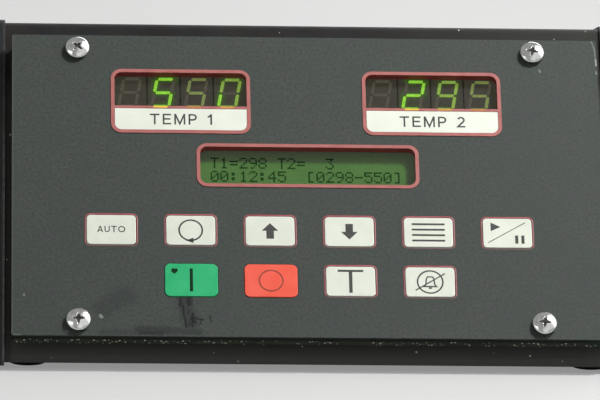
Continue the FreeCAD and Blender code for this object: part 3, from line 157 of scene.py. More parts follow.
# Text display, two rows of twenty characters of five by seven dots
TEXT_ROWS = ("T1=298 T2=  3", "00:12:45  [0298-550]")
ROW_LENGTH = 20
LETTER_PITCH = 3.72
LETTER_GAP = 0.5
TEXT_STEP = -0.55
ROW_PITCH = 5.95
DOT_PITCH = (0.64, 0.7)
DOT_SIZE = (0.6, 0.66)
DOT_ROWS = 8
CELL_SHADE = 0.12
GLYPHS = {
    "0": ".###. #...# #..## #.#.# ##..# #...# .###.",
    "1": "..#.. .##.. ..#.. ..#.. ..#.. ..#.. .###.",
    "2": ".###. #...# ....# ...#. ..#.. .#... #####",
    "3": "##### ...#. ..#.. ...#. ....# #...# .###.",
    "4": "...#. ..##. .#.#. #..#. ##### ...#. ...#.",
    "5": "##### #.... ####. ....# ....# #...# .###.",
    "8": ".###. #...# #...# .###. #...# #...# .###.",
    "9": ".###. #...# #...# .#### ....# ...#. .##..",
    "T": "##### ..#.. ..#.. ..#.. ..#.. ..#.. ..#..",
    "=": "..... ..... ##### ..... ##### ..... .....",
    ":": "..... .##.. .##.. ..... .##.. .##.. .....",
    "-": "..... ..... ..... ##### ..... ..... .....",
    "[": ".###. .#... .#... .#... .#... .#... .###.",
    "]": ".###. ...#. ...#. ...#. ...#. ...#. .###.",
}

# Panel screws, with their turns in degrees from the upper left one to the lower right one
SCREW_SPACING_X = 177.8
SCREW_TURNS = (50.0, 76.0, 88.0, 82.0)
SCREW_DOME = 10.0
SCREW_EDGE = 0.4
SCREW_UNDERCUT = 0.6
SCREW_SHANK = 2.4
SCREW_THREAD = 0.8
SCREW_THREAD_DEPTH = 0.3
SCREW_SIDES = 96
SCREW_RINGS = 40
SCREW_CURL = 6
RECESS_REACH = 2.4
RECESS_WIDTH = 0.95
RECESS_TAPER = 0.75
RECESS_DEPTH = 1.7
RECESS_SIDE = 0.3
RECESS_END = 1.2
RECESS_DARK = 0.35
RECESS_MARK = "recess"
RECESS_ROUGH = 0.36

# Marks on the rocker's two ends: half the line's width and length, and the ring's radius and line
ROCKER_LINE = (0.4, 1.9)
ROCKER_RING = (1.7, 0.6)
ROCKER_RING_STEPS = 32
ROCKER_RAY_START_M = 0.01

# Wear on the printed face, and painted highlights on its left edge and lower left corner: from, to, width and
# strength of each mark, in panel millimetres
DRIPS = (
    ((-48.6, -50.5), (-46.4, -61.0), 4.6, 0.5),
    ((-50.0, -49.6), (-50.0, -53.4), 1.2, 0.9),
    ((-49.0, -53.4), (-48.9, -56.4), 0.9, 0.9),
    ((-48.9, -56.4), (-47.8, -62.4), 0.85, 0.9),
    ((-46.9, -49.6), (-46.7, -52.6), 1.9, 0.9),
    ((-47.1, -55.4), (-47.1, -57.2), 0.8, 0.75),
    ((-46.6, -59.8), (-46.7, -62.2), 0.75, 0.75),
    ((-45.3, -56.6), (-45.8, -59.0), 0.9, 0.95),
    ((-45.4, -58.8), (-45.0, -60.2), 2.0, 0.95),
    ((-45.6, -60.4), (-45.5, -62.2), 0.85, 0.9),
    ((-44.6, -58.7), (-41.6, -59.4), 0.75, 0.85),
    ((-42.5, -59.6), (-42.5, -61.0), 0.55, 0.75),
    ((-38.8, -57.6), (-38.4, -60.0), 0.6, 0.65),
    ((-56.0, -64.2), (-43.0, -64.6), 2.4, 0.5),
    ((-66.0, -63.9), (-55.0, -64.2), 2.8, 0.55),
    ((-65.5, -65.2), (-57.0, -65.2), 1.5, 0.75),
    ((-80.0, -65.2), (-66.0, -65.0), 2.0, 0.3),
    ((-78.5, -53.5), (-71.0, -49.5), 6.0, 0.28),
    ((-82.0, -54.0), (-79.0, -57.0), 3.0, 0.28),
    ((70.7, 64.5), (70.7, 64.4), 0.45, 0.8),
)
SCUFFS_AND_EDGE_HIGHLIGHTS = (
    ((-80.4, -58.0), (-80.0, -58.5), 0.9, 0.5),
    ((-109.7, -49.0), (-109.6, -49.3), 0.5, 0.4),
    ((-93.5, -64.8), (-93.2, -65.2), 0.7, 0.3),
    ((91.4, 53.0), (91.9, 52.2), 0.4, 0.55),
    ((112.6, 66.2), (113.6, 62.6), 0.4, 0.3),
    ((113.6, 62.6), (113.9, 57.5), 0.35, 0.3),
    ((113.9, 58.0), (114.0, 55.4), 0.45, 0.7),
    ((113.9, 52.5), (113.9, 51.6), 0.5, 0.4),
    # The last two marks are painted highlights along the left edge and the lower left corner
    ((-114.1, -66.0), (-114.1, 66.0), 0.6, 0.05),
    ((-113.6, -66.3), (-111.0, -66.4), 0.5, 0.14),
)
DRIP_GLOSS = 0.15
MARK_CORE = 0.35
MARK_GRAIN = 0.9
RAGGED = (0.45, 1.45)

# Dust: share of the cells with a speck, and size of a speck and of its solid middle
CASE_SPECKS = 0.05
SPECK_SIZES = (0.5, 0.3)
SPECK_CORE = 0.6
SPECK_STEP = 0.02
SPECK_SPACING = 3.1
FINE_SPECK_SPACING = 0.55

# Paler blooms of settled dust and painted light: the grey, and an axis with the place where there is none and the
# place where it is full
# Dust along the foot, made paler as painted light from below
FOOT_DUST_AND_LIGHT = (80, (("Z", 16.0, 9.6),))
# Paler towards the upper right of the cover: painted light
UPPER_RIGHT_PAINTED_LIGHT = (52, (("X", 10.0, 110.0), ("Z", 100.0, 104.0)))
# Beside the panel, low down: a pale grey that lifts the panel's shadow, painted light
GROOVE_PAINTED_LIGHT = ("Z", 101.0, 92.0)
GROOVE_GREY = 66
DUST_WARMTH = 3
GROOVE_SOFT = 0.5

# Width of the pale rub along the cheeks' inner edges, which is wear and a painted highlight, and the heights where
# it fades and where painted shade darkens them
CHEEK_RUB_AND_HIGHLIGHT = 1.2
CHEEK_RUB_AND_HIGHLIGHT_CORE = 0.3
CHEEK_RUB_AND_HIGHLIGHT_FADE = (70.0, 100.0)
CHEEK_PAINTED_SHADE = (86.0, 102.0)

# Pitches, sizes and edges of the patterns on the inner pieces
TRACK_CELL = 5.0
TRACK_EDGE = (0.03, 0.05)
PAD_SPACING = 6.0
PAD_SIZE = 0.6
COIL_TURN = 0.45
CORE_SHEET = 0.25
RIBBON_WIRE = 0.635
CAN_TOP = (0.85, 0.9)
FUSE_CAP = 5.0
FUSE_CAP_EDGE = 0.2

# Camera in panel millimetres
CAMERA_AT = (-143.31, -1163.48, 2024.03)
CAMERA_AIM = (-3.41, -6.48, 0.0)
CAMERA_ROLL = math.radians(-1.41)
CAMERA_LENS = 363.9
CAMERA_CLIP_M = 50.0

# Lamps in metres and watts: name, place, point that it faces, width and height, and power.
# The upper lamp stands off the panel's middle, a way given in the panel's own directions.
LAMPS = (
    ("right wall lamp", (1.2, -0.1, 1.5), (0, -0.1, 1.1), (1.4, 2.6), 15.0),
    ("left soft lamp", (-1.2, -1.24, 1.25), (0, 0, 0.05), (0.9, 0.4), 1.6),
    ("rear soft lamp", (0.7, 1.7, 1.3), (0, 0, 0.05), (1.4, 1.4), 30.0),
)
UPPER_LAMP_WAY = (0.86, 1.1, 1.0)
UPPER_LAMP_AWAY_M = 1.2
UPPER_LAMP_SIZE_M = (0.17, 0.17)
UPPER_LAMP_POWER = 16.0

# Surroundings: light from all sides, the background that is seen, its bright places with their direction,
# outer and inner angle in degrees, and the floor
FILL = 0.16
BACKGROUND = 0.45
BRIGHT_PLACES = (
    ((0.6, -0.2, 0.78), 32.0, 22.0),
    ((0.36, -0.62, 0.7), 24.0, 12.0),
    ((0.15, -0.86, 0.48), 16.0, 7.0),
    ((-0.61, -0.7, 0.37), 20.0, 8.0),
)
FLOOR_LIFT = 0.27
FLOOR_HALF_M = 6.0
FLOOR_BLOT = 300.0

# Sockets of a colour mix node, the turn of a wave texture in radians per unit,
# and the middle ranges of a noise that are spread out
MIX_AMOUNT, MIX_FIRST, MIX_SECOND, MIX_RESULT = 0, 6, 7, 2
WAVE_RATE = 20.0
NOISE_SPREAD = (0.3, 0.7)
STAIN_SPREAD = (0.35, 0.65)
COOL_STAIN = (0.92, 1.0, 1.05, 1.0)
WARM_STAIN = (1.08, 1.0, 0.93, 1.0)
WHITE = (1.0, 1.0, 1.0, 1.0)
BLACK = (0.0, 0.0, 0.0, 1.0)
SATIN = {"Specular IOR Level": 0.25}
FLAT_INK = {"Specular IOR Level": 0.1}


def tint(red, green, blue):
    """A screen colour, 0 to 255, as the linear colour that a shader takes."""
    shares = [value / 255 for value in (red, green, blue)]
    return (*[s / 12.92 if s <= 0.04045 else ((s + 0.055) / 1.055) ** 2.4 for s in shares], 1.0)


class Bench:
    """A node tree and the nodes that are put into it."""

    def __init__(self, tree):
        self.tree = tree

    def feed(self, socket, value):
        """Gives a socket a fixed value or another node's result."""
        if isinstance(value, bpy.types.NodeSocket):
            self.tree.links.new(value, socket)
        else:
            socket.default_value = value

    def add(self, kind, inputs=None, **settings):
        node = self.tree.nodes.new(kind)
        for name, value in settings.items():
            setattr(node, name, value)
        for socket, value in (inputs or {}).items():
            self.feed(node.inputs[socket], value)
        return node

    def calc(self, operation, first, second=0.0):
        return self.add("ShaderNodeMath", {0: first, 1: second}, operation=operation).outputs["Value"]

    def vector(self, operation, first, second=None):
        node = self.add("ShaderNodeVectorMath", {0: first}, operation=operation)
        if second is not None:
            self.feed(node.inputs["Scale" if operation == "SCALE" else 1], second)
        return node.outputs["Value" if operation in ("DOT_PRODUCT", "LENGTH") else "Vector"]

    def level(self, value, low, high, to_low=0.0, to_high=1.0, **settings):
        """A value read from low to high, spread from to_low to to_high."""
        inputs = {"Value": value, "From Min": low, "From Max": high, "To Min": to_low, "To Max": to_high}
        return self.add("ShaderNodeMapRange", inputs, **settings).outputs["Result"]

    def mix(self, amount, first, second):
        inputs = {MIX_AMOUNT: amount, MIX_FIRST: first, MIX_SECOND: second}
        return self.add("ShaderNodeMix", inputs, data_type="RGBA").outputs[MIX_RESULT]


class Finish(Bench):
    """One material: its shader and the nodes that feed it. Places in it are millimetres."""

    def __init__(self, name, shader=None, on_panel=False):
        self.material = bpy.data.materials.new(name)
        self.material.use_nodes = True
        super().__init__(self.material.node_tree)
        self.shader = self.tree.nodes["Principled BSDF"]
        for socket, value in (shader or {}).items():
            self.shader.inputs[socket].default_value = value
        inputs = {"Vector": self.add("ShaderNodeTexCoord").outputs["Object"], "Scale": (MM, MM, MM)}
        if on_panel:
            inputs["Location"] = FACE.translation
            inputs["Rotation"] = PANEL_TURN.to_euler()
        self.place = self.add("ShaderNodeMapping", inputs, vector_type="TEXTURE").outputs["Vector"]

    def along(self, axis):
        return self.add("ShaderNodeSeparateXYZ", {"Vector": self.place}).outputs[axis]

    def grain(self, size, detail=2.0, stretch=(1, 1, 1)):
        """Noise from 0 to 1 with blots of about this size, longer along an axis where stretch is above 1."""
        place = self.add("ShaderNodeMapping", {"Vector": self.place, "Scale": [1 / s for s in stretch]})
        inputs = {"Vector": place.outputs["Vector"], "Scale": 1 / size, "Detail": detail}
        return self.add("ShaderNodeTexNoise", inputs).outputs["Fac"]

    def mottle(self, size, low=0.0, high=1.0, detail=2.0):
        """Noise with blots of about this size, spread from low to high."""
        return self.level(self.grain(size, detail), *NOISE_SPREAD, low, high)

    def two_tone(self, size, low, high, detail=4.0):
        """Two tints in blots of about this size."""
        return self.mix(self.mottle(size, detail=detail), tint(*low), tint(*high))

    def stained(self, colour, size):
        """A colour with faint cool and warm stains of about this size."""
        stain = self.mix(self.level(self.grain(size), *STAIN_SPREAD), COOL_STAIN, WARM_STAIN)
        return self.vector("MULTIPLY", colour, stain)

    def specks(self, spacing, size, share):
        """1 on small spots, each in its own cell of the spacing, in this share of the cells."""
        cells = self.add("ShaderNodeTexVoronoi", {"Vector": self.place, "Scale": 1 / spacing})
        spot = self.level(cells.outputs["Distance"], size / spacing, SPECK_CORE * size / spacing)
        draw = self.add("ShaderNodeSeparateColor", {"Color": cells.outputs["Color"]}).outputs["Red"]
        return self.calc("MULTIPLY", spot, self.level(draw, 1 - share, 1 - share + SPECK_STEP))

    def stripes(self, axis, pitch, start=0.0):
        """Bands from 0 to 1 and back across an axis, one in each pitch, with 0 at the start."""
        inputs = {"Vector": self.place, "Scale": 2 * math.pi / (WAVE_RATE * pitch),
                  "Phase Offset": -2 * math.pi * start / pitch}
        return self.add("ShaderNodeTexWave", inputs, bands_direction=axis).outputs["Fac"]

    def marks(self, marks):
        """How strongly a place is covered, at any depth, by ragged marks that run from point to point."""
        covered = 0.0
        flat = self.vector("MULTIPLY", self.place, (1.0, 1.0, 0.0))
        ragged = self.mottle(MARK_GRAIN, *RAGGED)
        for start, end, width, strength in marks:
            first, last = Vector((*start, 0)), Vector((*end, 0))
            run = last - first
            from_start = self.vector("SUBTRACT", flat, first)
            share = self.calc("DIVIDE", self.vector("DOT_PRODUCT", from_start, run), run.length_squared)
            share = self.add("ShaderNodeClamp", {"Value": share}).outputs["Result"]
            nearest = self.vector("SCALE", run, share)
            away = self.vector("LENGTH", self.vector("SUBTRACT", from_start, nearest))
            edge = self.calc("MULTIPLY", ragged, width)
            near = self.level(self.calc("DIVIDE", away, edge), MARK_CORE, 1.0, strength, 0.0)
            covered = self.calc("MAXIMUM", near, covered)
        return covered

    def done(self, colour, rough, height=None, depth=0.01):
        """Gives the shader its colour, roughness and surface relief of the given depth."""
        self.feed(self.shader.inputs["Base Color"], colour)
        self.feed(self.shader.inputs["Roughness"], rough)
        if height is not None:
            bump = self.add("ShaderNodeBump", {"Height": height, "Distance": depth * MM})
            self.feed(self.shader.inputs["Normal"], bump.outputs["Normal"])
        return self.material


def moulded(name, low, high, blot=8.0, rough=(0.4, 0.55), pit=0.35, depth=0.01, shader=None):
    """A plastic or paint of two near tints in blots, with a relief of fine pits."""
    finish = Finish(name, shader)
    colour = finish.two_tone(blot, low, high)
    return finish.done(colour, finish.mottle(blot / 3, *rough), finish.grain(pit), depth)


def key_plastic(name, low, high, shader=None):
    return moulded(name, low, high, 7.0, (0.35, 0.5), 0.5, 0.006, shader)


def ink(name, low, high, shader=None):
    return moulded(name, low, high, 2.0, (0.45, 0.6), 0.3, 0.003, shader)


def brushed(name, low, high, rough=(0.25, 0.4)):
    """Bare metal with fine lines along the object."""
    finish = Finish(name, {"Metallic": 1.0})
    lines = finish.grain(0.25, 3.0, (40, 1, 1))
    colour = finish.mix(finish.level(lines, *NOISE_SPREAD), tint(*low), tint(*high))
    return finish.done(colour, finish.mottle(2.5, *rough), lines, 0.004)


def screw_plating():
    """Bright plating, smooth, with faint cloudy wear, and dirt where a screw's recess is marked."""
    finish = Finish("polished screw")
    dirt = finish.add("ShaderNodeAttribute", attribute_name=RECESS_MARK).outputs["Fac"]
    cloud = finish.mottle(2.0)
    bright = finish.mix(cloud, tint(190, 192, 190), tint(216, 217, 214))
    grime = finish.two_tone(0.8, (112, 112, 111), (138, 137, 134))
    finish.feed(finish.shader.inputs["Metallic"], finish.level(dirt, 0.0, 1.0, 1.0, 0.0))
    rough = finish.calc("ADD", finish.mottle(1.2, 0.07, 0.15), finish.calc("MULTIPLY", dirt, RECESS_ROUGH))
    return finish.done(finish.mix(dirt, bright, grime), rough, cloud, 0.003)


def panel_print():
    """The matt grey print, mottled, with drips below a key, scuffs at the corners, and painted highlights along
    its left edge and lower left corner.
    """
    finish = Finish("panel print", {"Specular IOR Level": 0.2}, on_panel=True)
    fine = finish.grain(1.1, 3.0)
    broad = finish.grain(14.0, 3.0)
    cast = finish.mix(finish.level(finish.grain(5.0), *STAIN_SPREAD), tint(61, 72, 65), tint(67, 67, 67))
    colour = finish.mix(finish.level(fine, *NOISE_SPREAD), tint(48, 53, 49), tint(79, 84, 79))
    colour = finish.mix(PANEL_CAST, colour, cast)
    colour = finish.mix(finish.level(broad, *STAIN_SPREAD, 0.0, 0.35), colour, tint(58, 65, 63))
    drips = finish.marks(DRIPS)
    colour = finish.mix(drips, colour, tint(5, 10, 10))
    # Scuffs, and painted highlights along the left edge and lower left corner, in one pale tint
    colour = finish.mix(finish.marks(SCUFFS_AND_EDGE_HIGHLIGHTS), colour, tint(176, 182, 172))
    dry = finish.level(fine, 0.2, 0.8, 0.55, 0.7)
    rough = finish.calc("SUBTRACT", dry, finish.calc("MULTIPLY", drips, DRIP_GLOSS))
    return finish.done(colour, rough, fine, 0.008)


def trim_print():
    """The red face of a display trim; its walls behind the face are a darker red, as painted shade."""
    finish = Finish("red trim print", {"Specular IOR Level": 0.3}, on_panel=True)
    face = finish.two_tone(5.0, (168, 98, 94), (182, 111, 106))
    on_face = finish.level(finish.along("Z"), *TRIM_FACE)
    # The darker red of the walls is painted shade inside the window
    colour = finish.mix(on_face, tint(136, 60, 56), face)
    return finish.done(colour, finish.mottle(1.7, 0.42, 0.55), finish.grain(0.4), 0.006)


def outline_size():
    """Width and height of the printed outline's middle line."""
    low, high = panel_reach("key_auto")
    grow = 2 * (KEY_HOLE_GAP - KEY_FLANGE) + OUTLINE_LINE
    return high.x - low.x + grow, high.y - low.y + grow


def outline_print():
    """The thin red print round the white keys, worn at its sides and more so along its lower edge."""
    finish = Finish("outline red print", on_panel=True)
    width, height = outline_size()
    worn = []
    for key in WHITE_KEYS:
        middle = panel_middle("key_" + key)
        left, right = middle.x - width / 2, middle.x + width / 2
        low, high = middle.y - height / 2, middle.y + height / 2
        worn.append(((left, low), (right, low), *LOWER_WEAR))
        worn += [((x, low), (x, high), *SIDE_WEAR) for x in (left, right)]
    fresh = finish.two_tone(3.0, (158, 72, 78), (176, 88, 92))
    colour = finish.mix(finish.marks(worn), fresh, tint(88, 82, 79))
    return finish.done(colour, finish.mottle(1.0, 0.45, 0.6), finish.grain(0.4), 0.004)


def dusty(name, low, high, share, rough, pit, spacing=SPECK_SPACING, blooms=()):
    """A dark surface with pale specks of dust in a share of its cells, and paler blooms that the caller gives,
    which are settled dust and painted light.
    """
    finish = Finish(name, {"Specular IOR Level": 0.08})
    colour = finish.stained(finish.two_tone(10.0, low, high), 6.0)
    for grey, limits in blooms:
        cover = 1.0
        for axis, bare, full in limits:
            cover = finish.calc("MULTIPLY", cover, finish.level(finish.along(axis), bare, full))
        colour = finish.mix(cover, colour, tint(grey, grey, grey - DUST_WARMTH))
    coarse = finish.specks(spacing, SPECK_SIZES[0], share)
    fine = finish.specks(FINE_SPECK_SPACING * spacing, SPECK_SIZES[1], share / 2)
    colour = finish.mix(finish.calc("MAXIMUM", coarse, fine), colour, tint(240, 238, 224))
    return finish.done(colour, finish.mottle(1.5, *rough), finish.grain(pit), 0.03)


def case_paint(name, blooms):
    return dusty(name, (35, 34, 34), (44, 43, 43), CASE_SPECKS, (0.5, 0.62), 0.5, blooms=blooms)


def cover_paint():
    """The cover's black paint, with dust along its foot made paler as painted light from below, painted light in
    the panel's shadow beside the panel, and painted light along the right part of its upper edge.
    """
    edge = panel_reach("panel_overlay")[1].x
    blooms = [FOOT_DUST_AND_LIGHT]
    # Painted light beside the panel, where the panel's shadow falls
    for side in (-1, 1):
        beside = ("X", side * (edge - GROOVE_SOFT), side * (edge + GROOVE_SOFT))
        blooms.append((GROOVE_GREY, (beside, GROOVE_PAINTED_LIGHT)))
    return case_paint("dusty black cover", [*blooms, UPPER_RIGHT_PAINTED_LIGHT])


def cheek_paint():
    """Grained black, darker near the top with painted shade, and pale along the inner edges of the cheeks with
    wear that is also a painted highlight.
    """
    finish = Finish("grained black cheek", {"Specular IOR Level": 0.2})
    colour = finish.stained(finish.two_tone(12.0, (46, 48, 47), (56, 58, 57)), 9.0)
    # Darker near the top: painted shade
    colour = finish.mix(finish.level(finish.along("Z"), *CHEEK_PAINTED_SHADE), colour, tint(27, 29, 31))
    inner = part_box("right_cheek")[0].x / MM
    from_edge = finish.calc("SUBTRACT", finish.calc("ABSOLUTE", finish.along("X")), inner)
    # The pale rub along the inner edge is wear and a painted highlight, fading upwards
    rub_and_highlight = finish.level(from_edge, CHEEK_RUB_AND_HIGHLIGHT, CHEEK_RUB_AND_HIGHLIGHT_CORE * CHEEK_RUB_AND_HIGHLIGHT)
    patchy = finish.level(finish.grain(2.5, 3.0, (1, 1, 6)), 0.3, 0.6, 0.3, 0.9)
    rub_and_highlight = finish.calc("MULTIPLY", rub_and_highlight, patchy)
    rub_and_highlight = finish.calc("MULTIPLY", rub_and_highlight, finish.level(finish.along("Z"), *CHEEK_RUB_AND_HIGHLIGHT_FADE, 1.0, 0.2))
    colour = finish.mix(rub_and_highlight, colour, tint(134, 137, 134))
    return finish.done(colour, finish.mottle(4.0, 0.5, 0.65), finish.grain(0.9), 0.06)


def digit_face():
    """The dark face of a digit module, faintly lit by a painted glow, with painted green light beside its lit bars
    and black at its seams.
    """
    # The face's emission is a painted glow; the green halo in it is painted light from the lit bars
    finish = Finish("digit module face", {"Specular IOR Level": 0.1, "Emission Strength": 1.0}, on_panel=True)
    cloud = finish.mottle(3.5)
    halo = finish.marks([(*ends, *HALOS[level]) for level in HALOS for ends in bar_ends(level)])
    seams = finish.marks([(*ends, SEAM_WIDTH, SEAM_STRENGTH) for ends in module_seams()])
    glow = finish.mix(halo, finish.mix(cloud, tint(50, 48, 39), tint(55, 53, 43)), tint(52, 94, 6))
    glow = finish.mix(seams, glow, tint(8, 9, 6))
    finish.feed(finish.shader.inputs["Emission Color"], glow)
    colour = finish.mix(cloud, tint(18, 18, 14), tint(23, 22, 18))
    return finish.done(colour, finish.mottle(0.6, 0.4, 0.55), finish.grain(0.3), 0.006)


def digit_light(name, colour, glow, base=1.0):
    """A diffusing bar of a digit that glows by itself, which on unlit bars is a painted glow; base is how much of
    its tint its plastic has.
    """
    finish = Finish(name, {"Specular IOR Level": 0.1, "Emission Strength": glow}, on_panel=True)
    shade = finish.two_tone(0.7, [BAR_SHADE * part for part in colour], colour, 2.0)
    finish.feed(finish.shader.inputs["Emission Color"], shade)
    return finish.done(finish.mix(base, BLACK, shade), 0.5, finish.grain(0.3), 0.004)


def text_glass():
    """The green face of the text display, with the faint cells of its characters and a painted grey glow that
    stands in for glare on the glass.
    """
    # The grey emission is a painted glow for glare on the glass
    shader = {"Specular IOR Level": 0.2, "Emission Strength": 1.0, "Emission Color": tint(51, 49, 46)}
    finish = Finish("text display glass", shader, on_panel=True)
    colour = finish.two_tone(11.0, (52, 101, 30), (60, 107, 38), 2.0)
    across = finish.stripes("X", LETTER_PITCH)
    up = finish.stripes("Y", ROW_PITCH, panel_middle("text_display_trim").y)
    cell = finish.calc("MULTIPLY", finish.level(across, 0.1, 0.3), finish.level(up, 0.05, 0.2))
    colour = finish.mix(finish.calc("MULTIPLY", cell, CELL_SHADE), colour, tint(48, 94, 30))
    return finish.done(colour, finish.mottle(0.8, 0.25, 0.34), finish.grain(0.5), 0.002)


def circuit_board():
    """Green solder mask over paler tracks, with bright pads."""
    finish = Finish("circuit board")
    cells = finish.add("ShaderNodeTexVoronoi", {"Vector": finish.place, "Scale": 1 / TRACK_CELL},
                       feature="DISTANCE_TO_EDGE", distance="EUCLIDEAN")
    tracks = finish.level(cells.outputs["Distance"], *TRACK_EDGE, 1.0, 0.0)
    ground = finish.mix(finish.grain(6.0), tint(18, 74, 40), tint(28, 92, 50))
    colour = finish.mix(tracks, ground, tint(70, 132, 78))
    colour = finish.mix(finish.specks(PAD_SPACING, PAD_SIZE, 0.5), colour, tint(196, 196, 184))
    return finish.done(colour, finish.mottle(1.0, 0.3, 0.45), tracks, 0.03)


def striped(name, axis, pitch, edge, low, high, blot, rough, depth, shader=None):
    """Bands of two tints across an axis, one in each pitch, with grooves between them."""
    finish = Finish(name, shader)
    bands = finish.stripes(axis, pitch)
    colour = finish.mix(finish.level(bands, *edge), tint(*low), tint(*high))
    return finish.done(colour, finish.mottle(blot, *rough), bands, depth)


def capacitor_can():
    """A blue sleeve with a bare metal top."""
    finish = Finish("capacitor sleeve")
    normal = finish.add("ShaderNodeNewGeometry").outputs["Normal"]
    upward = finish.add("ShaderNodeSeparateXYZ", {"Vector": normal}).outputs["Z"]
    top = finish.level(upward, *CAN_TOP)
    sleeve = finish.mix(finish.grain(4.0), tint(28, 34, 70), tint(36, 42, 78))
    finish.feed(finish.shader.inputs["Metallic"], finish.calc("MULTIPLY", top, 0.9))
    relief = finish.grain(0.6)
    rough = finish.level(relief, *NOISE_SPREAD, 0.28, 0.4)
    return finish.done(finish.mix(top, sleeve, tint(196, 196, 194)), rough, relief, 0.01)


def fuse_tube():
    """Clear tube between two plated end caps."""
    low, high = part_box("fuse_cartridge")
    middle, half = (low.y + high.y) / 2 / MM, (high.y - low.y) / 2 / MM
    finish = Finish("fuse tube and caps")
    off_middle = finish.calc("ABSOLUTE", finish.calc("SUBTRACT", finish.along("Y"), middle))
    cap = finish.level(off_middle, half - FUSE_CAP - FUSE_CAP_EDGE, half - FUSE_CAP)
    finish.feed(finish.shader.inputs["Metallic"], cap)
    scratches = finish.grain(0.3, 2.0, (1, 8, 1))
    plated = finish.mix(scratches, tint(176, 174, 168), tint(214, 212, 206))
    colour = finish.mix(cap, tint(206, 214, 208), plated)
    return finish.done(colour, finish.level(scratches, *NOISE_SPREAD, 0.1, 0.25), scratches, 0.004)


def make_finishes():
    """One finish for each material slot of the record."""
    return {
        "panel_grey": panel_print(),
        # The plate's grey is paler than black anodising: painted light that lifts its shaded edges
        "plate_metal": brushed("dark anodised plate", (50, 56, 50), (66, 72, 65), (0.4, 0.55)),
        "trim_red": trim_print(),
        "label_white": moulded("label strip", (228, 233, 219), (236, 241, 228), 9.0, (0.45, 0.6), 0.5, 0.004),
        "key_white": key_plastic("white key", (220, 225, 211), (230, 234, 220)),
        "key_green": key_plastic("green key", (40, 175, 112), (54, 184, 122), SATIN),
        "key_red": key_plastic("red key", (243, 92, 71), (247, 104, 85), SATIN),
        "digit_black": digit_face(),
        # Unlit bars glow faintly: a painted glow
        "digit_light": digit_light("digit bar, unlit", (78, 74, 63), 1.0, 0.1),
        "text_green": text_glass(),
        # The case is paler at its foot: dust, and painted light from below
        "case_black": case_paint("black textured paint", [FOOT_DUST_AND_LIGHT]),
        "cheek_black": cheek_paint(),
        "rubber_black": dusty("black rubber", (40, 41, 40), (52, 53, 51), 0.12, (0.75, 0.9), 0.6),
        "screw_bright": screw_plating(),
        "steel_plain": brushed("plain steel", (140, 140, 138), (188, 188, 185)),
        "board_green": circuit_board(),
        "fitting_black": moulded("moulded fitting", (30, 30, 31), (40, 40, 41), 6.0, (0.35, 0.5), 0.4, 0.012),
        "rocker_black": moulded("rocker", (26, 26, 27), (34, 34, 35), 6.0, (0.22, 0.34), 0.4, 0.006),
        "copper_coil": striped("wound copper", "Z", COIL_TURN, (0.1, 0.9), (92, 44, 20), (196, 112, 58),
                               3.0, (0.3, 0.45), 0.2, {"Metallic": 0.7}),
        "core_steel": striped("stacked laminations", "Y", CORE_SHEET, (0.1, 0.6), (46, 42, 40),
                              (112, 106, 100), 4.0, (0.4, 0.6), 0.06, {"Metallic": 0.6}),
        "relay_grey": moulded("relay housing", (196, 193, 180), (210, 207, 195), 8.0, (0.45, 0.6), 0.4,
                              0.012),
        "can_blue": capacitor_can(),
        "ribbon_grey": striped("flat cable", "X", RIBBON_WIRE, (0.0, 0.5), (120, 122, 126), (178, 180, 184),
                               5.0, (0.4, 0.5), 0.2),
        "diffuser_white": moulded("light diffuser", (214, 220, 204), (226, 230, 216), 6.0, (0.5, 0.6), 0.4),
        "fuse_glass": fuse_tube(),
    }


def dress_nodes(finishes):
    """Gives each CAD node the finish of its slot, and the cover and the gasket their own."""
    nodes = frame["nodes"]
    for subpart in frame["record"]["subparts"]:
        materials = nodes[subpart["node"]].data.materials
        materials.clear()
        materials.append(finishes[subpart["material_slot"]])
    nodes["case_cover"].data.materials[0] = cover_paint()
    # The gasket's foam is a pale grey with dust specks; the pale grey is painted light that lifts the shade it
    # sits in
    nodes["panel_gasket"].data.materials[0] = dusty(
        "dusty foam gasket", (60, 66, 58), (76, 81, 72), 0.8, (0.75, 0.9), 0.6, 2.0)


def add_object(name, data):
    """A new object in the scene."""
    item = bpy.data.objects.new(name, data)
    bpy.context.scene.collection.objects.link(item)
    return item


def keep(name, mesh, finish, body, slot, *replaced):
    """Makes a finished mesh a piece that rides on a body."""
    mesh.name = name
    mesh.materials.clear()
    mesh.materials.append(finish)
    piece = add_object(name, mesh)
    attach(piece, body)
    if replaced:
        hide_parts(*replaced)


def to_mesh(work, axes=FACE):
    """A plain mesh from worked geometry, moved from its own millimetres to the frame."""
    bmesh.ops.remove_doubles(work, verts=work.verts, dist=WELD)
    bmesh.ops.recalc_face_normals(work, faces=work.faces)
    work.transform(axes)
    mesh = bpy.data.meshes.new("worked")
    work.to_mesh(mesh)
    work.free()
    return mesh


def box(left, low, right, high):
    return [(left, low), (right, low), (right, high), (left, high)]


def arc(centre, radius, start=0.0, end=360.0, steps=CIRCLE_STEPS):
    """Points round part of a circle, without the last one where it closes."""
    closed = abs(end - start) >= 360
    angles = [math.radians(start + (end - start) * i / steps) for i in range(steps + (not closed))]
    return [(centre[0] + radius * math.cos(a), centre[1] + radius * math.sin(a)) for a in angles]


def moved(outline, by):
    return [(x + by[0], y + by[1]) for x, y in outline]


def add_patch(work, outline, low, high):
    """A thin solid with a flat outline."""
    bottom, top = [[work.verts.new((x, y, z)) for x, y in outline] for z in (low, high)]
    work.faces.new(bottom)
    work.faces.new(top)
    for i in range(len(outline)):
        work.faces.new((bottom[i - 1], bottom[i], top[i], top[i - 1]))


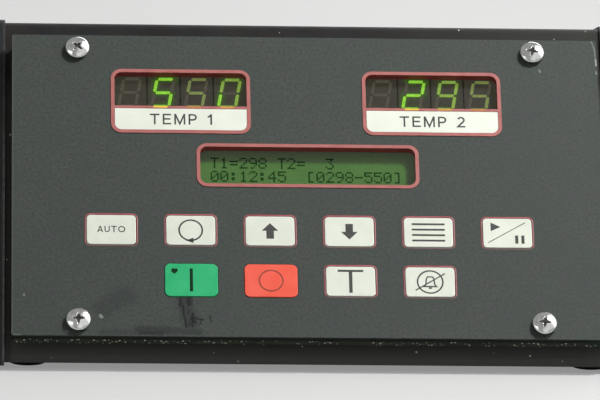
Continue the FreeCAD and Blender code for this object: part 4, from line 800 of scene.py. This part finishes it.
def add_stroke(work, path, width, low, high, closed=False):
    """A thin solid line along a flat path, mitred at its corners."""
    points = [Vector(p) for p in path]
    count = len(points)
    sections = []
    for i, point in enumerate(points):
        before = points[i - 1] if closed or i else 2 * point - points[1]
        after = points[(i + 1) % count] if closed or i < count - 1 else 2 * point - points[i - 1]
        coming, going = (point - before).normalized(), (after - point).normalized()
        along = (coming + going).normalized()
        side = Vector((-along.y, along.x)) * (width / 2 / max(MITRE_LIMIT, along.dot(going)))
        corners = ((point - side, low), (point + side, low), (point + side, high), (point - side, high))
        sections.append([work.verts.new((*flat, height)) for flat, height in corners])
    for i in range(count if closed else count - 1):
        first, second = sections[i], sections[(i + 1) % count]
        for k in range(4):
            work.faces.new((first[k - 1], first[k], second[k], second[k - 1]))
    if not closed:
        work.faces.new(sections[0])
        work.faces.new(sections[-1])


def letter_lines(letter, line):
    """Width and middle lines of a letter one unit tall, drawn with a pen of this width."""
    low, high = line / 2, 1 - line / 2
    bowl = 0.24
    shapes = {
        "1": (0.36, [[(0.3, 0), (0.3, 1)], [(0.02, 0.74), (0.16, 0.78), (0.27, 0.93)]]),
        "2": (0.68, [arc((0.34, 0.69), 0.31 - low, 160, -40, 14) + [(low, low), (0.68, low)]]),
        "A": (0.84, [[(low, 0), (0.42, 1)], [(0.42, 1), (0.84 - low, 0)], [(0.2, 0.3), (0.64, 0.3)]]),
        "E": (0.68, [[(0.68, high), (low, high), (low, low), (0.68, low)], [(low, 0.52), (0.62, 0.52)]]),
        "M": (0.9, [[(low, 0), (low, 1)], [(0.9 - low, 0), (0.9 - low, 1)],
                    [(low, 1), (0.45, 0.06), (0.9 - low, 1)]]),
        "O": (1.0, [arc((0.5, 0.5), 0.5 - low)]),
        "P": (0.68, [[(low, 0), (low, high)] + arc((0.68 - low - bowl, high - bowl), bowl, 90, -90, 12)
                     + [(low, high - 2 * bowl)]]),
        "T": (0.78, [[(0, high), (0.78, high)], [(0.39, 0), (0.39, high)]]),
        "U": (0.74, [[(low, 1)] + arc((0.37, 0.37), 0.37 - low, 180, 360, 16) + [(0.74 - low, 1)]]),
        " ": (0.34, []),
    }
    return shapes[letter]


def add_words(work, words, middle, height, line, gap, low, high):
    """Letters of this height drawn with one pen width about a middle point."""
    letters = [letter_lines(letter, line / height) for letter in words]
    left = middle[0] - (sum(wide * height + gap for wide, _ in letters) - gap) / 2
    for letter, (wide, paths) in zip(words, letters):
        for i, path in enumerate(paths):
            points = [(left + x * height, middle[1] + (y - 0.5) * height) for x, y in path]
            add_stroke(work, points, line, low, high + i * STROKE_STEP, letter in ROUND_LETTERS)
        left += wide * height + gap


class PieceTree(Bench):
    """A Geometry Nodes tree with named inputs, which sets copies on points and gives them a finish."""

    def __init__(self, name, inputs):
        super().__init__(bpy.data.node_groups.new(name, "GeometryNodeTree"))
        ports = self.tree.interface
        ports.new_socket("Geometry", in_out="INPUT", socket_type="NodeSocketGeometry")
        kinds = {**inputs, "Finish": "NodeSocketMaterial"}
        self.sockets = {label: ports.new_socket(label, in_out="INPUT", socket_type=kind).identifier
                        for label, kind in kinds.items()}
        ports.new_socket("Geometry", in_out="OUTPUT", socket_type="NodeSocketGeometry")
        self.given = self.add("NodeGroupInput").outputs

    def close(self, copies):
        """Ends the tree in plain geometry with its finish."""
        real = self.add("GeometryNodeRealizeInstances", {0: copies.outputs["Instances"]})
        inputs = {"Geometry": real.outputs[0], "Material": self.given["Finish"]}
        self.add("NodeGroupOutput", {0: self.add("GeometryNodeSetMaterial", inputs).outputs[0]})
        return self

    def run(self, points, settings, turns=()):
        """The plain mesh that the tree makes on points in panel millimetres, moved to the frame."""
        cloud = bpy.data.meshes.new("points")
        cloud.from_pydata(points, [], [])
        turn = cloud.attributes.new("turn", "FLOAT_VECTOR", "POINT")
        for item, angle in zip(turn.data, turns):
            item.vector = (0, 0, angle)
        carrier = add_object("carrier", cloud)
        modifier = carrier.modifiers.new("tree", "NODES")
        modifier.node_group = self.tree
        for label, value in settings.items():
            modifier[self.sockets[label]] = value
        evaluated = carrier.evaluated_get(bpy.context.evaluated_depsgraph_get())
        mesh = bpy.data.meshes.new_from_object(evaluated)
        carrier.modifiers.remove(modifier)
        bpy.data.objects.remove(carrier)
        bpy.data.meshes.remove(cloud)
        mesh.transform(FACE)
        return mesh


def copies_tree():
    """Copies of a pattern piece on points, each turned as its point says."""
    tree = PieceTree("copies on points", {"Pattern": "NodeSocketObject"})
    pattern = tree.add("GeometryNodeObjectInfo", {"Object": tree.given["Pattern"]})
    turn = tree.add("GeometryNodeInputNamedAttribute", {"Name": "turn"}, data_type="FLOAT_VECTOR")
    euler = tree.add("FunctionNodeEulerToRotation", {"Euler": turn.outputs["Attribute"]})
    return tree.close(tree.add("GeometryNodeInstanceOnPoints", {
        "Points": tree.given["Geometry"], "Instance": pattern.outputs["Geometry"],
        "Rotation": euler.outputs["Rotation"]}))


def outline_tree():
    """A rounded printed outline on each point, as a thin solid band."""
    lengths = ("Width", "Height", "Corner", "Line", "Thickness")
    tree = PieceTree("key outlines", dict.fromkeys(lengths, "NodeSocketFloat"))
    width, height, corner, line, thickness = [tree.given[label] for label in lengths]
    loop, section = [tree.add("GeometryNodeCurvePrimitiveQuadrilateral", {"Width": wide, "Height": high})
                     for wide, high in ((width, height), (line, thickness))]
    inputs = {"Curve": loop.outputs["Curve"], "Radius": corner, "Count": OUTLINE_STEPS}
    rounded = tree.add("GeometryNodeFilletCurve", inputs, mode="POLY")
    inputs = {"Curve": rounded.outputs["Curve"], "Profile Curve": section.outputs["Curve"]}
    band = tree.add("GeometryNodeCurveToMesh", inputs)
    return tree.close(tree.add("GeometryNodeInstanceOnPoints", {
        "Points": tree.given["Geometry"], "Instance": band.outputs["Mesh"]}))


def spread(pattern, points, finish, turns=()):
    """Copies of a pattern mesh on points in panel millimetres, each turned about the panel's normal."""
    shape = add_object("pattern", pattern)
    mesh = copies_tree().run(points, {"Pattern": shape, "Finish": finish}, turns)
    bpy.data.objects.remove(shape)
    return mesh


def bar_reach(flat):
    """Half the length of a flat or a standing bar."""
    return (BAR_ACROSS if flat else BAR_STEP) - BAR_GAP


def bar_pattern(flat):
    """One pointed bar of a digit, lying flat or standing, slanted as the digit is."""
    tip, side = bar_reach(flat), BAR_WIDTH / 2
    neck = tip - BAR_POINT
    outline = [(-tip, 0), (-neck, -side), (neck, -side), (tip, 0), (neck, side), (-neck, side)]
    if not flat:
        outline = [(-y, x) for x, y in outline]
    work = bmesh.new()
    low, high = panel_reach("digit_segments")
    add_patch(work, [(x + y * DIGIT_SLANT, y) for x, y in outline], low.z, high.z)
    return to_mesh(work, UNMOVED)


def digit_places():
    """Each bar of the two readings: its level, letter and middle."""
    bars = []
    for node, reading in READINGS.items():
        middle = panel_middle(node)
        low, high = panel_reach(node)
        pitch = (high.x - low.x + DIGIT_GAP) / len(reading)
        for i, (numeral, level) in enumerate(reading):
            centre = middle.x + (i - (len(reading) - 1) / 2) * pitch - DIGIT_SIDE_STEP
            for letter, (column, row) in BARS.items():
                lit = letter in NUMERALS[numeral]
                shown = "bright" if letter in BRIGHTER_BARS.get((node, i), "") else level
                up = row * BAR_STEP
                x = centre + column * BAR_ACROSS + up * DIGIT_SLANT
                bars.append((shown if lit else "unlit", letter, (x, middle.y + up, 0)))
    return bars


def bar_ends(level):
    """Both ends of each bar that is lit to a level, in panel millimetres."""
    ends = []
    for shown, letter, (x, y, _) in digit_places():
        if shown == level:
            flat = letter in FLAT_BARS
            half = bar_reach(flat)
            step = (half, 0) if flat else (half * DIGIT_SLANT, half)
            ends.append(((x - step[0], y - step[1]), (x + step[0], y + step[1])))
    return ends


def module_seams():
    """Both ends of the line between each two digit modules in panel millimetres."""
    seams = []
    for node, reading in READINGS.items():
        low, high = panel_reach(node)
        across = [low.x + (high.x - low.x) * i / len(reading) for i in range(1, len(reading))]
        seams += [((x, low.y), (x, high.y)) for x in across]
    return seams


def make_digits(unlit):
    lights = {level: digit_light("digit bar, " + level, *look) for level, look in BAR_LIGHTS.items()}
    bars = digit_places()
    for level, finish in {**lights, "unlit": unlit}.items():
        work = bmesh.new()
        for flat in (True, False):
            points = [at for shown, letter, at in bars if shown == level and (letter in FLAT_BARS) == flat]
            mesh = spread(bar_pattern(flat), points, finish)
            work.from_mesh(mesh)
            bpy.data.meshes.remove(mesh)
        replaced = ("digit_segments",) if level == "unlit" else ()
        keep("digit_bars_" + level, to_mesh(work, UNMOVED), finish, "console", "digit_light", *replaced)


def make_trim_glow():
    """Light of the lowest bars, caught on the red line under the digits."""
    half = bar_reach(True)
    top = panel_reach("left_display_trim")[1].z
    edge = panel_reach("display_labels")[1].y + TRIM_BAR
    low, high = edge - GLOW_WIDTH, edge - GLOW_EDGE
    for level, look in TRIM_GLOWS.items():
        work = bmesh.new()
        for shown, letter, (x, _, _) in digit_places():
            if letter == LOWEST_BAR and shown == level:
                left, right = x - half, x + half
                lower = [(left + GLOW_TAPER[0], low), (right - GLOW_TAPER[1], low)]
                add_patch(work, [*lower, (right, high), (left, high)], top, top + PRINT)
        glow = digit_light("glow on the trim, " + level, *look)
        keep("trim_glow_" + level, to_mesh(work), glow, "console", "digit_light")


def make_text(finish):
    """The dark dots of the text display's characters."""
    half_x, half_y = DOT_SIZE[0] / 2, DOT_SIZE[1] / 2
    front = panel_reach("text_display_glass")[1].z
    work = bmesh.new()
    add_patch(work, box(-half_x, -half_y, half_x, half_y), front, front + PRINT)
    dot = to_mesh(work, UNMOVED)
    middle = panel_middle("text_display_trim")
    left = middle.x + TEXT_STEP - (ROW_LENGTH * LETTER_PITCH - LETTER_GAP) / 2 + half_x
    top = middle.y + (ROW_PITCH * (len(TEXT_ROWS) - 1) + DOT_ROWS * DOT_PITCH[1]) / 2 - half_y
    points = []
    for line, words in enumerate(TEXT_ROWS):
        for column, letter in enumerate(words):
            x = left + column * LETTER_PITCH
            for row, dots in enumerate(GLYPHS.get(letter, "").split()):
                y = top - line * ROW_PITCH - row * DOT_PITCH[1]
                points += [(x + step * DOT_PITCH[0], y, 0) for step, mark in enumerate(dots) if mark == "#"]
    keep("text_display_characters", spread(dot, points, finish), finish, "console", "text_green")


def make_outlines(finish):
    """The thin red print round each white key."""
    width, height = outline_size()
    settings = {"Width": width, "Height": height, "Corner": OUTLINE_CORNER,
                "Line": OUTLINE_LINE, "Thickness": PRINT, "Finish": finish}
    middles = [panel_middle("key_" + key) for key in WHITE_KEYS]
    mesh = outline_tree().run([(m.x, m.y, PRINT / 2) for m in middles], settings)
    keep("key_outlines", mesh, finish, "console", "trim_red")


def recess_share(radius, angle):
    """How deep a place on a screw head lies in its star recess, from 0 on the dome to 1 on the floor."""
    deepest = 0.0
    for wing in range(4):
        along = radius * math.cos(angle - wing * math.pi / 2)
        aside = abs(radius * math.sin(angle - wing * math.pi / 2))
        if along >= 0:
            width = RECESS_WIDTH * (1 - RECESS_TAPER * along / RECESS_REACH)
            side, end = (width - aside) / RECESS_SIDE, (RECESS_REACH - along) / RECESS_END
            deepest = max(deepest, min(side, end, 1.0))
    return deepest


def screw_dome(head, top):
    """Radius and height of the rings of a screw head, over its shallow dome and round its edge."""
    shoulder = head - SCREW_EDGE
    radii = [shoulder * i / SCREW_RINGS for i in range(SCREW_RINGS + 1)]
    rings = [(r, top - SCREW_DOME + math.sqrt(SCREW_DOME ** 2 - r * r)) for r in radii]
    height = rings[-1][1]
    slope = math.asin(shoulder / SCREW_DOME)
    curl = SCREW_EDGE / (1 - math.sin(slope))
    for i in range(1, SCREW_CURL + 1):
        angle = slope + (math.pi / 2 - slope) * i / SCREW_CURL
        rings.append((shoulder + curl * (math.sin(angle) - math.sin(slope)),
                      height + curl * (math.cos(angle) - math.cos(slope))))
    return rings


def screw_foot(head, rim, low):
    """Radius and height of the rings under a screw head's widest line, down to the shank's tip."""
    curl = [math.pi / 2 * i / SCREW_CURL for i in range(1, SCREW_CURL + 1)]
    rings = [(head - SCREW_UNDERCUT * (1 - math.cos(a)), rim * (1 - math.sin(a))) for a in curl]
    rings.append((SCREW_SHANK, 0.0))
    turns = int(-low / SCREW_THREAD * 2)
    rings += [(SCREW_SHANK - SCREW_THREAD_DEPTH * (i % 2), -i * SCREW_THREAD / 2) for i in range(1, turns)]
    rings.append((SCREW_SHANK - 2 * SCREW_THREAD_DEPTH, low))
    return rings


def screw_pattern(head, low, top):
    """A panel screw: its head and shank in one, with the faces in its star recess marked for their dirt."""
    angles = [2 * math.pi * k / SCREW_SIDES for k in range(SCREW_SIDES)]
    rings = []
    for r, z in screw_dome(head, top):
        shares = [recess_share(r, a) for a in angles]
        rings.append([(r * math.cos(a), r * math.sin(a), z - RECESS_DEPTH * share, share)
                      for a, share in zip(angles, shares)])
    for r, z in screw_foot(head, rings[-1][0][2], low):
        rings.append([(r * math.cos(a), r * math.sin(a), z, 0.0) for a in angles])
    work = bmesh.new()
    mark = work.faces.layers.float.new(RECESS_MARK)
    for first, second in zip(rings, rings[1:]):
        for k in range(SCREW_SIDES):
            corners = [first[k - 1], second[k - 1], second[k], first[k]]
            depth = sum(share for *_, share in corners) / len(corners)
            if first is rings[0]:
                corners = corners[1:]
            face = work.faces.new([work.verts.new(place) for *place, _ in corners])
            face.smooth = True
            face[mark] = float(depth > RECESS_DARK)
    work.faces.new([work.verts.new(place) for *place, _ in rings[-1]])
    bmesh.ops.remove_doubles(work, verts=work.verts, dist=WELD)
    for edge in work.edges:
        edge.smooth = len({face[mark] for face in edge.link_faces}) == 1
    return to_mesh(work, UNMOVED)


def make_screws(finish):
    low, high = panel_reach("panel_screws")
    head = (high.x - low.x - SCREW_SPACING_X) / 2
    points = [(x, y, 0) for y in (high.y - head, low.y + head) for x in (low.x + head, high.x - head)]
    turns = [math.radians(turn) for turn in SCREW_TURNS]
    screws = spread(screw_pattern(head, low.z, high.z), points, finish, turns)
    keep("panel_screw_heads", screws, finish, "console", "screw_bright", "panel_screws")


def make_labels(finish):
    """Words on the white strips under the digits."""
    for side, name, words in LABEL_WORDS:
        middle, top = panel_middle("display_labels", side), panel_reach("display_labels", side)[1].z
        work = bmesh.new()
        add_words(work, words, middle, LABEL_CAPITALS, LABEL_LINE, LABEL_GAP, top - PRINT, top + PRINT)
        keep(name + "_label_words", to_mesh(work), finish, "console", "label_white")


def arrow(way):
    """A fat arrow, up (1) or down (-1)."""
    half_head, half_stem, tip, neck = 3.2, 1.45, 3.4, 0.1
    outline = [(0, tip), (half_head, neck), (half_stem, neck), (half_stem, -tip), (-half_stem, -tip),
               (-half_stem, neck), (-half_head, neck)]
    return [(x, way * y) for x, y in outline]


# Print on the keys about each key's middle: outlines of patches; paths, widths and whether they close;
# and words with their middle, height, pen and gap
SPOT = [(0, -1.3), (0.9, -0.6), (1.4, 0.3), (1.0, 1.1), (0.35, 0.9), (-0.4, 1.15), (-1.2, 0.7), (-1.0, -0.4)]
BELL = [(-1.0, 2.2), (1.0, 2.2), (1.5, 1.2), (1.7, -1.2),
        (2.4, -2.0), (-2.4, -2.0), (-1.7, -1.2), (-1.5, 1.2)]
KEY_PATCHES = {
    "repeat": [[(-2.0, -4.5), (1.0, -3.3), (1.0, -5.6)]],
    "up": [arrow(1)],
    "down": [arrow(-1)],
    "run_pause": [[(-6.4, 4.6), (-6.4, 0.8), (-2.6, 2.7)],
                  box(2.9, -4.6, 4.1, -1.0), box(5.3, -4.6, 6.5, -1.0)],
    "on": [box(-0.6, -5.0, 0.6, 5.0), moved(SPOT, (-6.5, 3.9))],
    "temperature": [box(-4.9, 4.1, 4.9, 5.0), box(-0.65, -5.0, 0.65, 4.1)],
    "alarm_off": [box(-0.6, -3.0, 0.6, -2.35)],
}
KEY_LINES = {
    "repeat": [(arc((0, 0), 4.45), 0.65, True)],
    "menu": [([(-6.35, y), (6.35, y)], 0.8, False) for y in (3.6, 1.2, -1.2, -3.6)],
    "run_pause": [([(-7.6, -4.3), (7.0, 4.7)], 0.3, False)],
    "off": [(arc((0, 0), 4.5), 0.55, True)],
    "alarm_off": [(arc((0, 0), 4.85), 0.62, True), ([(-5.7, -3.7), (5.7, 3.7)], 0.5, False),
                  (BELL, 0.55, True)],
}
KEY_WORDS = {"auto": [("AUTO", (0, 0.2), 2.7, 0.4, 0.55)]}


def make_legends(finish, slot, keys):
    """The print on each key, which moves with it."""
    for key in keys:
        node = "key_" + key
        middle, top = panel_middle(node), panel_reach(node)[1].z
        low, high = top - PRINT, top + PRINT
        work = bmesh.new()
        for outline in KEY_PATCHES.get(key, ()):
            add_patch(work, moved(outline, middle), low, high)
        for path, width, closed in KEY_LINES.get(key, ()):
            add_stroke(work, moved(path, middle), width, low, high, closed)
        for text, (x, y), height, line, gap in KEY_WORDS.get(key, ()):
            add_words(work, text, (middle.x + x, middle.y + y), height, line, gap, low, high)
        keep(node + "_legend", to_mesh(work), finish, node, slot)


def surface_axes(node, start, way):
    """Millimetre axes lying on a node where a line from start meets it, with the third axis out of it."""
    tree = BVHTree.FromObject(frame["nodes"][node], bpy.context.evaluated_depsgraph_get())
    at, normal, _, _ = tree.ray_cast(Vector(start), Vector(way))
    across = Vector((0, 0, 1)).cross(normal).normalized()
    turn = Matrix((across, normal.cross(across), normal)).transposed().to_4x4()
    return Matrix.Translation(at) @ turn @ Matrix.Scale(MM, 4)


def make_rocker_marks(finish):
    """The line and ring on the two ends of the rocker."""
    low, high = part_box("power_rocker")
    middle = (low + high) / 2
    quarter = (high.z - low.z) / 4
    half_width, half_length = ROCKER_LINE
    radius, line = ROCKER_RING
    for name, side in (("on", 1), ("off", -1)):
        start = (middle.x, high.y + ROCKER_RAY_START_M, middle.z + side * quarter)
        work = bmesh.new()
        if name == "on":
            add_patch(work, box(-half_width, -half_length, half_width, half_length), -PRINT, PRINT)
        else:
            add_stroke(work, arc((0, 0), radius, steps=ROCKER_RING_STEPS), line, -PRINT, PRINT, True)
        mesh = to_mesh(work, surface_axes("power_rocker", start, (0, -1, 0)))
        keep("rocker_mark_" + name, mesh, finish, "power_rocker", "rocker_black")


def make_camera():
    eye, aim = FACE @ Vector(CAMERA_AT), FACE @ Vector(CAMERA_AIM)
    back = (eye - aim).normalized()
    level = PANEL_UP.cross(back).normalized()
    upright = back.cross(level)
    right = math.cos(CAMERA_ROLL) * level + math.sin(CAMERA_ROLL) * upright
    data = bpy.data.cameras.new("camera")
    data.lens = CAMERA_LENS
    data.clip_end = CAMERA_CLIP_M
    camera = add_object("camera", data)
    turn = Matrix((right, back.cross(right), back)).transposed().to_4x4()
    camera.matrix_world = Matrix.Translation(eye) @ turn
    bpy.context.scene.camera = camera


def make_lamp(name, at, aim, size, power):
    """A flat lamp, size across and size along, that faces a point."""
    data = bpy.data.lights.new(name, "AREA")
    data.shape = "RECTANGLE"
    data.size, data.size_y = size
    data.energy = power
    lamp = add_object(name, data)
    turn = (Vector(aim) - Vector(at)).to_track_quat("-Z", "Y").to_matrix().to_4x4()
    lamp.matrix_world = Matrix.Translation(at) @ turn


def make_lights():
    middle = FACE.translation
    way = (PANEL_TURN @ Vector(UPPER_LAMP_WAY)).normalized()
    make_lamp("upper lamp", middle + UPPER_LAMP_AWAY_M * way, middle, UPPER_LAMP_SIZE_M, UPPER_LAMP_POWER)
    for lamp in LAMPS:
        make_lamp(*lamp)


def seen_from_outside(bench):
    """1 for rays from the camera, mirrors and glass, 0 for rays that only carry light."""
    rays = bench.add("ShaderNodeLightPath").outputs
    seen = bench.calc("MAXIMUM", rays["Is Camera Ray"], rays["Is Glossy Ray"])
    return bench.calc("MAXIMUM", seen, rays["Is Transmission Ray"])


def background_level(bench):
    """The even background, rising to white about each bright place from its outer to its inner angle."""
    way = bench.add("ShaderNodeTexCoord").outputs["Generated"]
    level = BACKGROUND
    for middle, outer, inner in BRIGHT_PLACES:
        towards = bench.vector("DOT_PRODUCT", way, Vector(middle).normalized())
        edges = [math.cos(math.radians(angle)) for angle in (outer, inner)]
        rise = bench.level(towards, *edges, BACKGROUND, interpolation_type="SMOOTHSTEP")
        level = bench.calc("MAXIMUM", level, rise)
    return level


def make_background():
    """A pale background with weak light from all sides."""
    world = bpy.data.worlds.new("surroundings")
    bpy.context.scene.world = world
    world.use_nodes = True
    bench = Bench(world.node_tree)
    strength = bench.level(seen_from_outside(bench), 0.0, 1.0, FILL, background_level(bench))
    sky = world.node_tree.nodes["Background"]
    bench.feed(sky.inputs["Color"], WHITE)
    bench.feed(sky.inputs["Strength"], strength)


def floor_paint():
    """Matt and pale, and lifted a little where it is seen."""
    finish = Finish("pale floor")
    matt = finish.done(finish.two_tone(FLOOR_BLOT, (150, 150, 149), (154, 154, 153), 2.0), 0.9)
    lift = finish.calc("MULTIPLY", seen_from_outside(finish), FLOOR_LIFT)
    glow = finish.add("ShaderNodeEmission", {"Color": WHITE, "Strength": lift})
    both = finish.add("ShaderNodeAddShader", {0: finish.shader.outputs["BSDF"], 1: glow.outputs["Emission"]})
    finish.feed(finish.tree.nodes["Material Output"].inputs["Surface"], both.outputs["Shader"])
    return matt


def make_floor():
    work = bmesh.new()
    bmesh.ops.create_grid(work, x_segments=1, y_segments=1, size=FLOOR_HALF_M)
    mesh = bpy.data.meshes.new("floor")
    work.to_mesh(mesh)
    work.free()
    mesh.materials.append(floor_paint())
    floor = add_object("floor", mesh)


def make_console():
    finishes = make_finishes()
    dress_nodes(finishes)
    dark_print = ink("dark grey print", (60, 61, 58), (73, 74, 70), SATIN)
    make_digits(finishes["digit_light"])
    make_trim_glow()
    make_text(moulded("dark crystal dots", (14, 52, 6), (20, 58, 12), 3.0, (0.3, 0.4), 0.3, 0.002, FLAT_INK))
    make_outlines(outline_print())
    make_screws(finishes["screw_bright"])
    make_labels(dark_print)
    make_legends(dark_print, "key_white", WHITE_KEYS)
    make_legends(ink("black print", (2, 40, 16), (8, 48, 24), FLAT_INK), "key_green", ["on"])
    make_legends(ink("faded red print", (146, 62, 50), (160, 72, 58), SATIN), "key_red", ["off"])
    make_rocker_marks(ink("pale print", (206, 206, 202), (220, 220, 216)))


make_camera()
make_lights()
make_background()
make_floor()
make_console()
bpy.context.scene.view_settings.view_transform = "Standard"

bpy.context.view_layer.update()
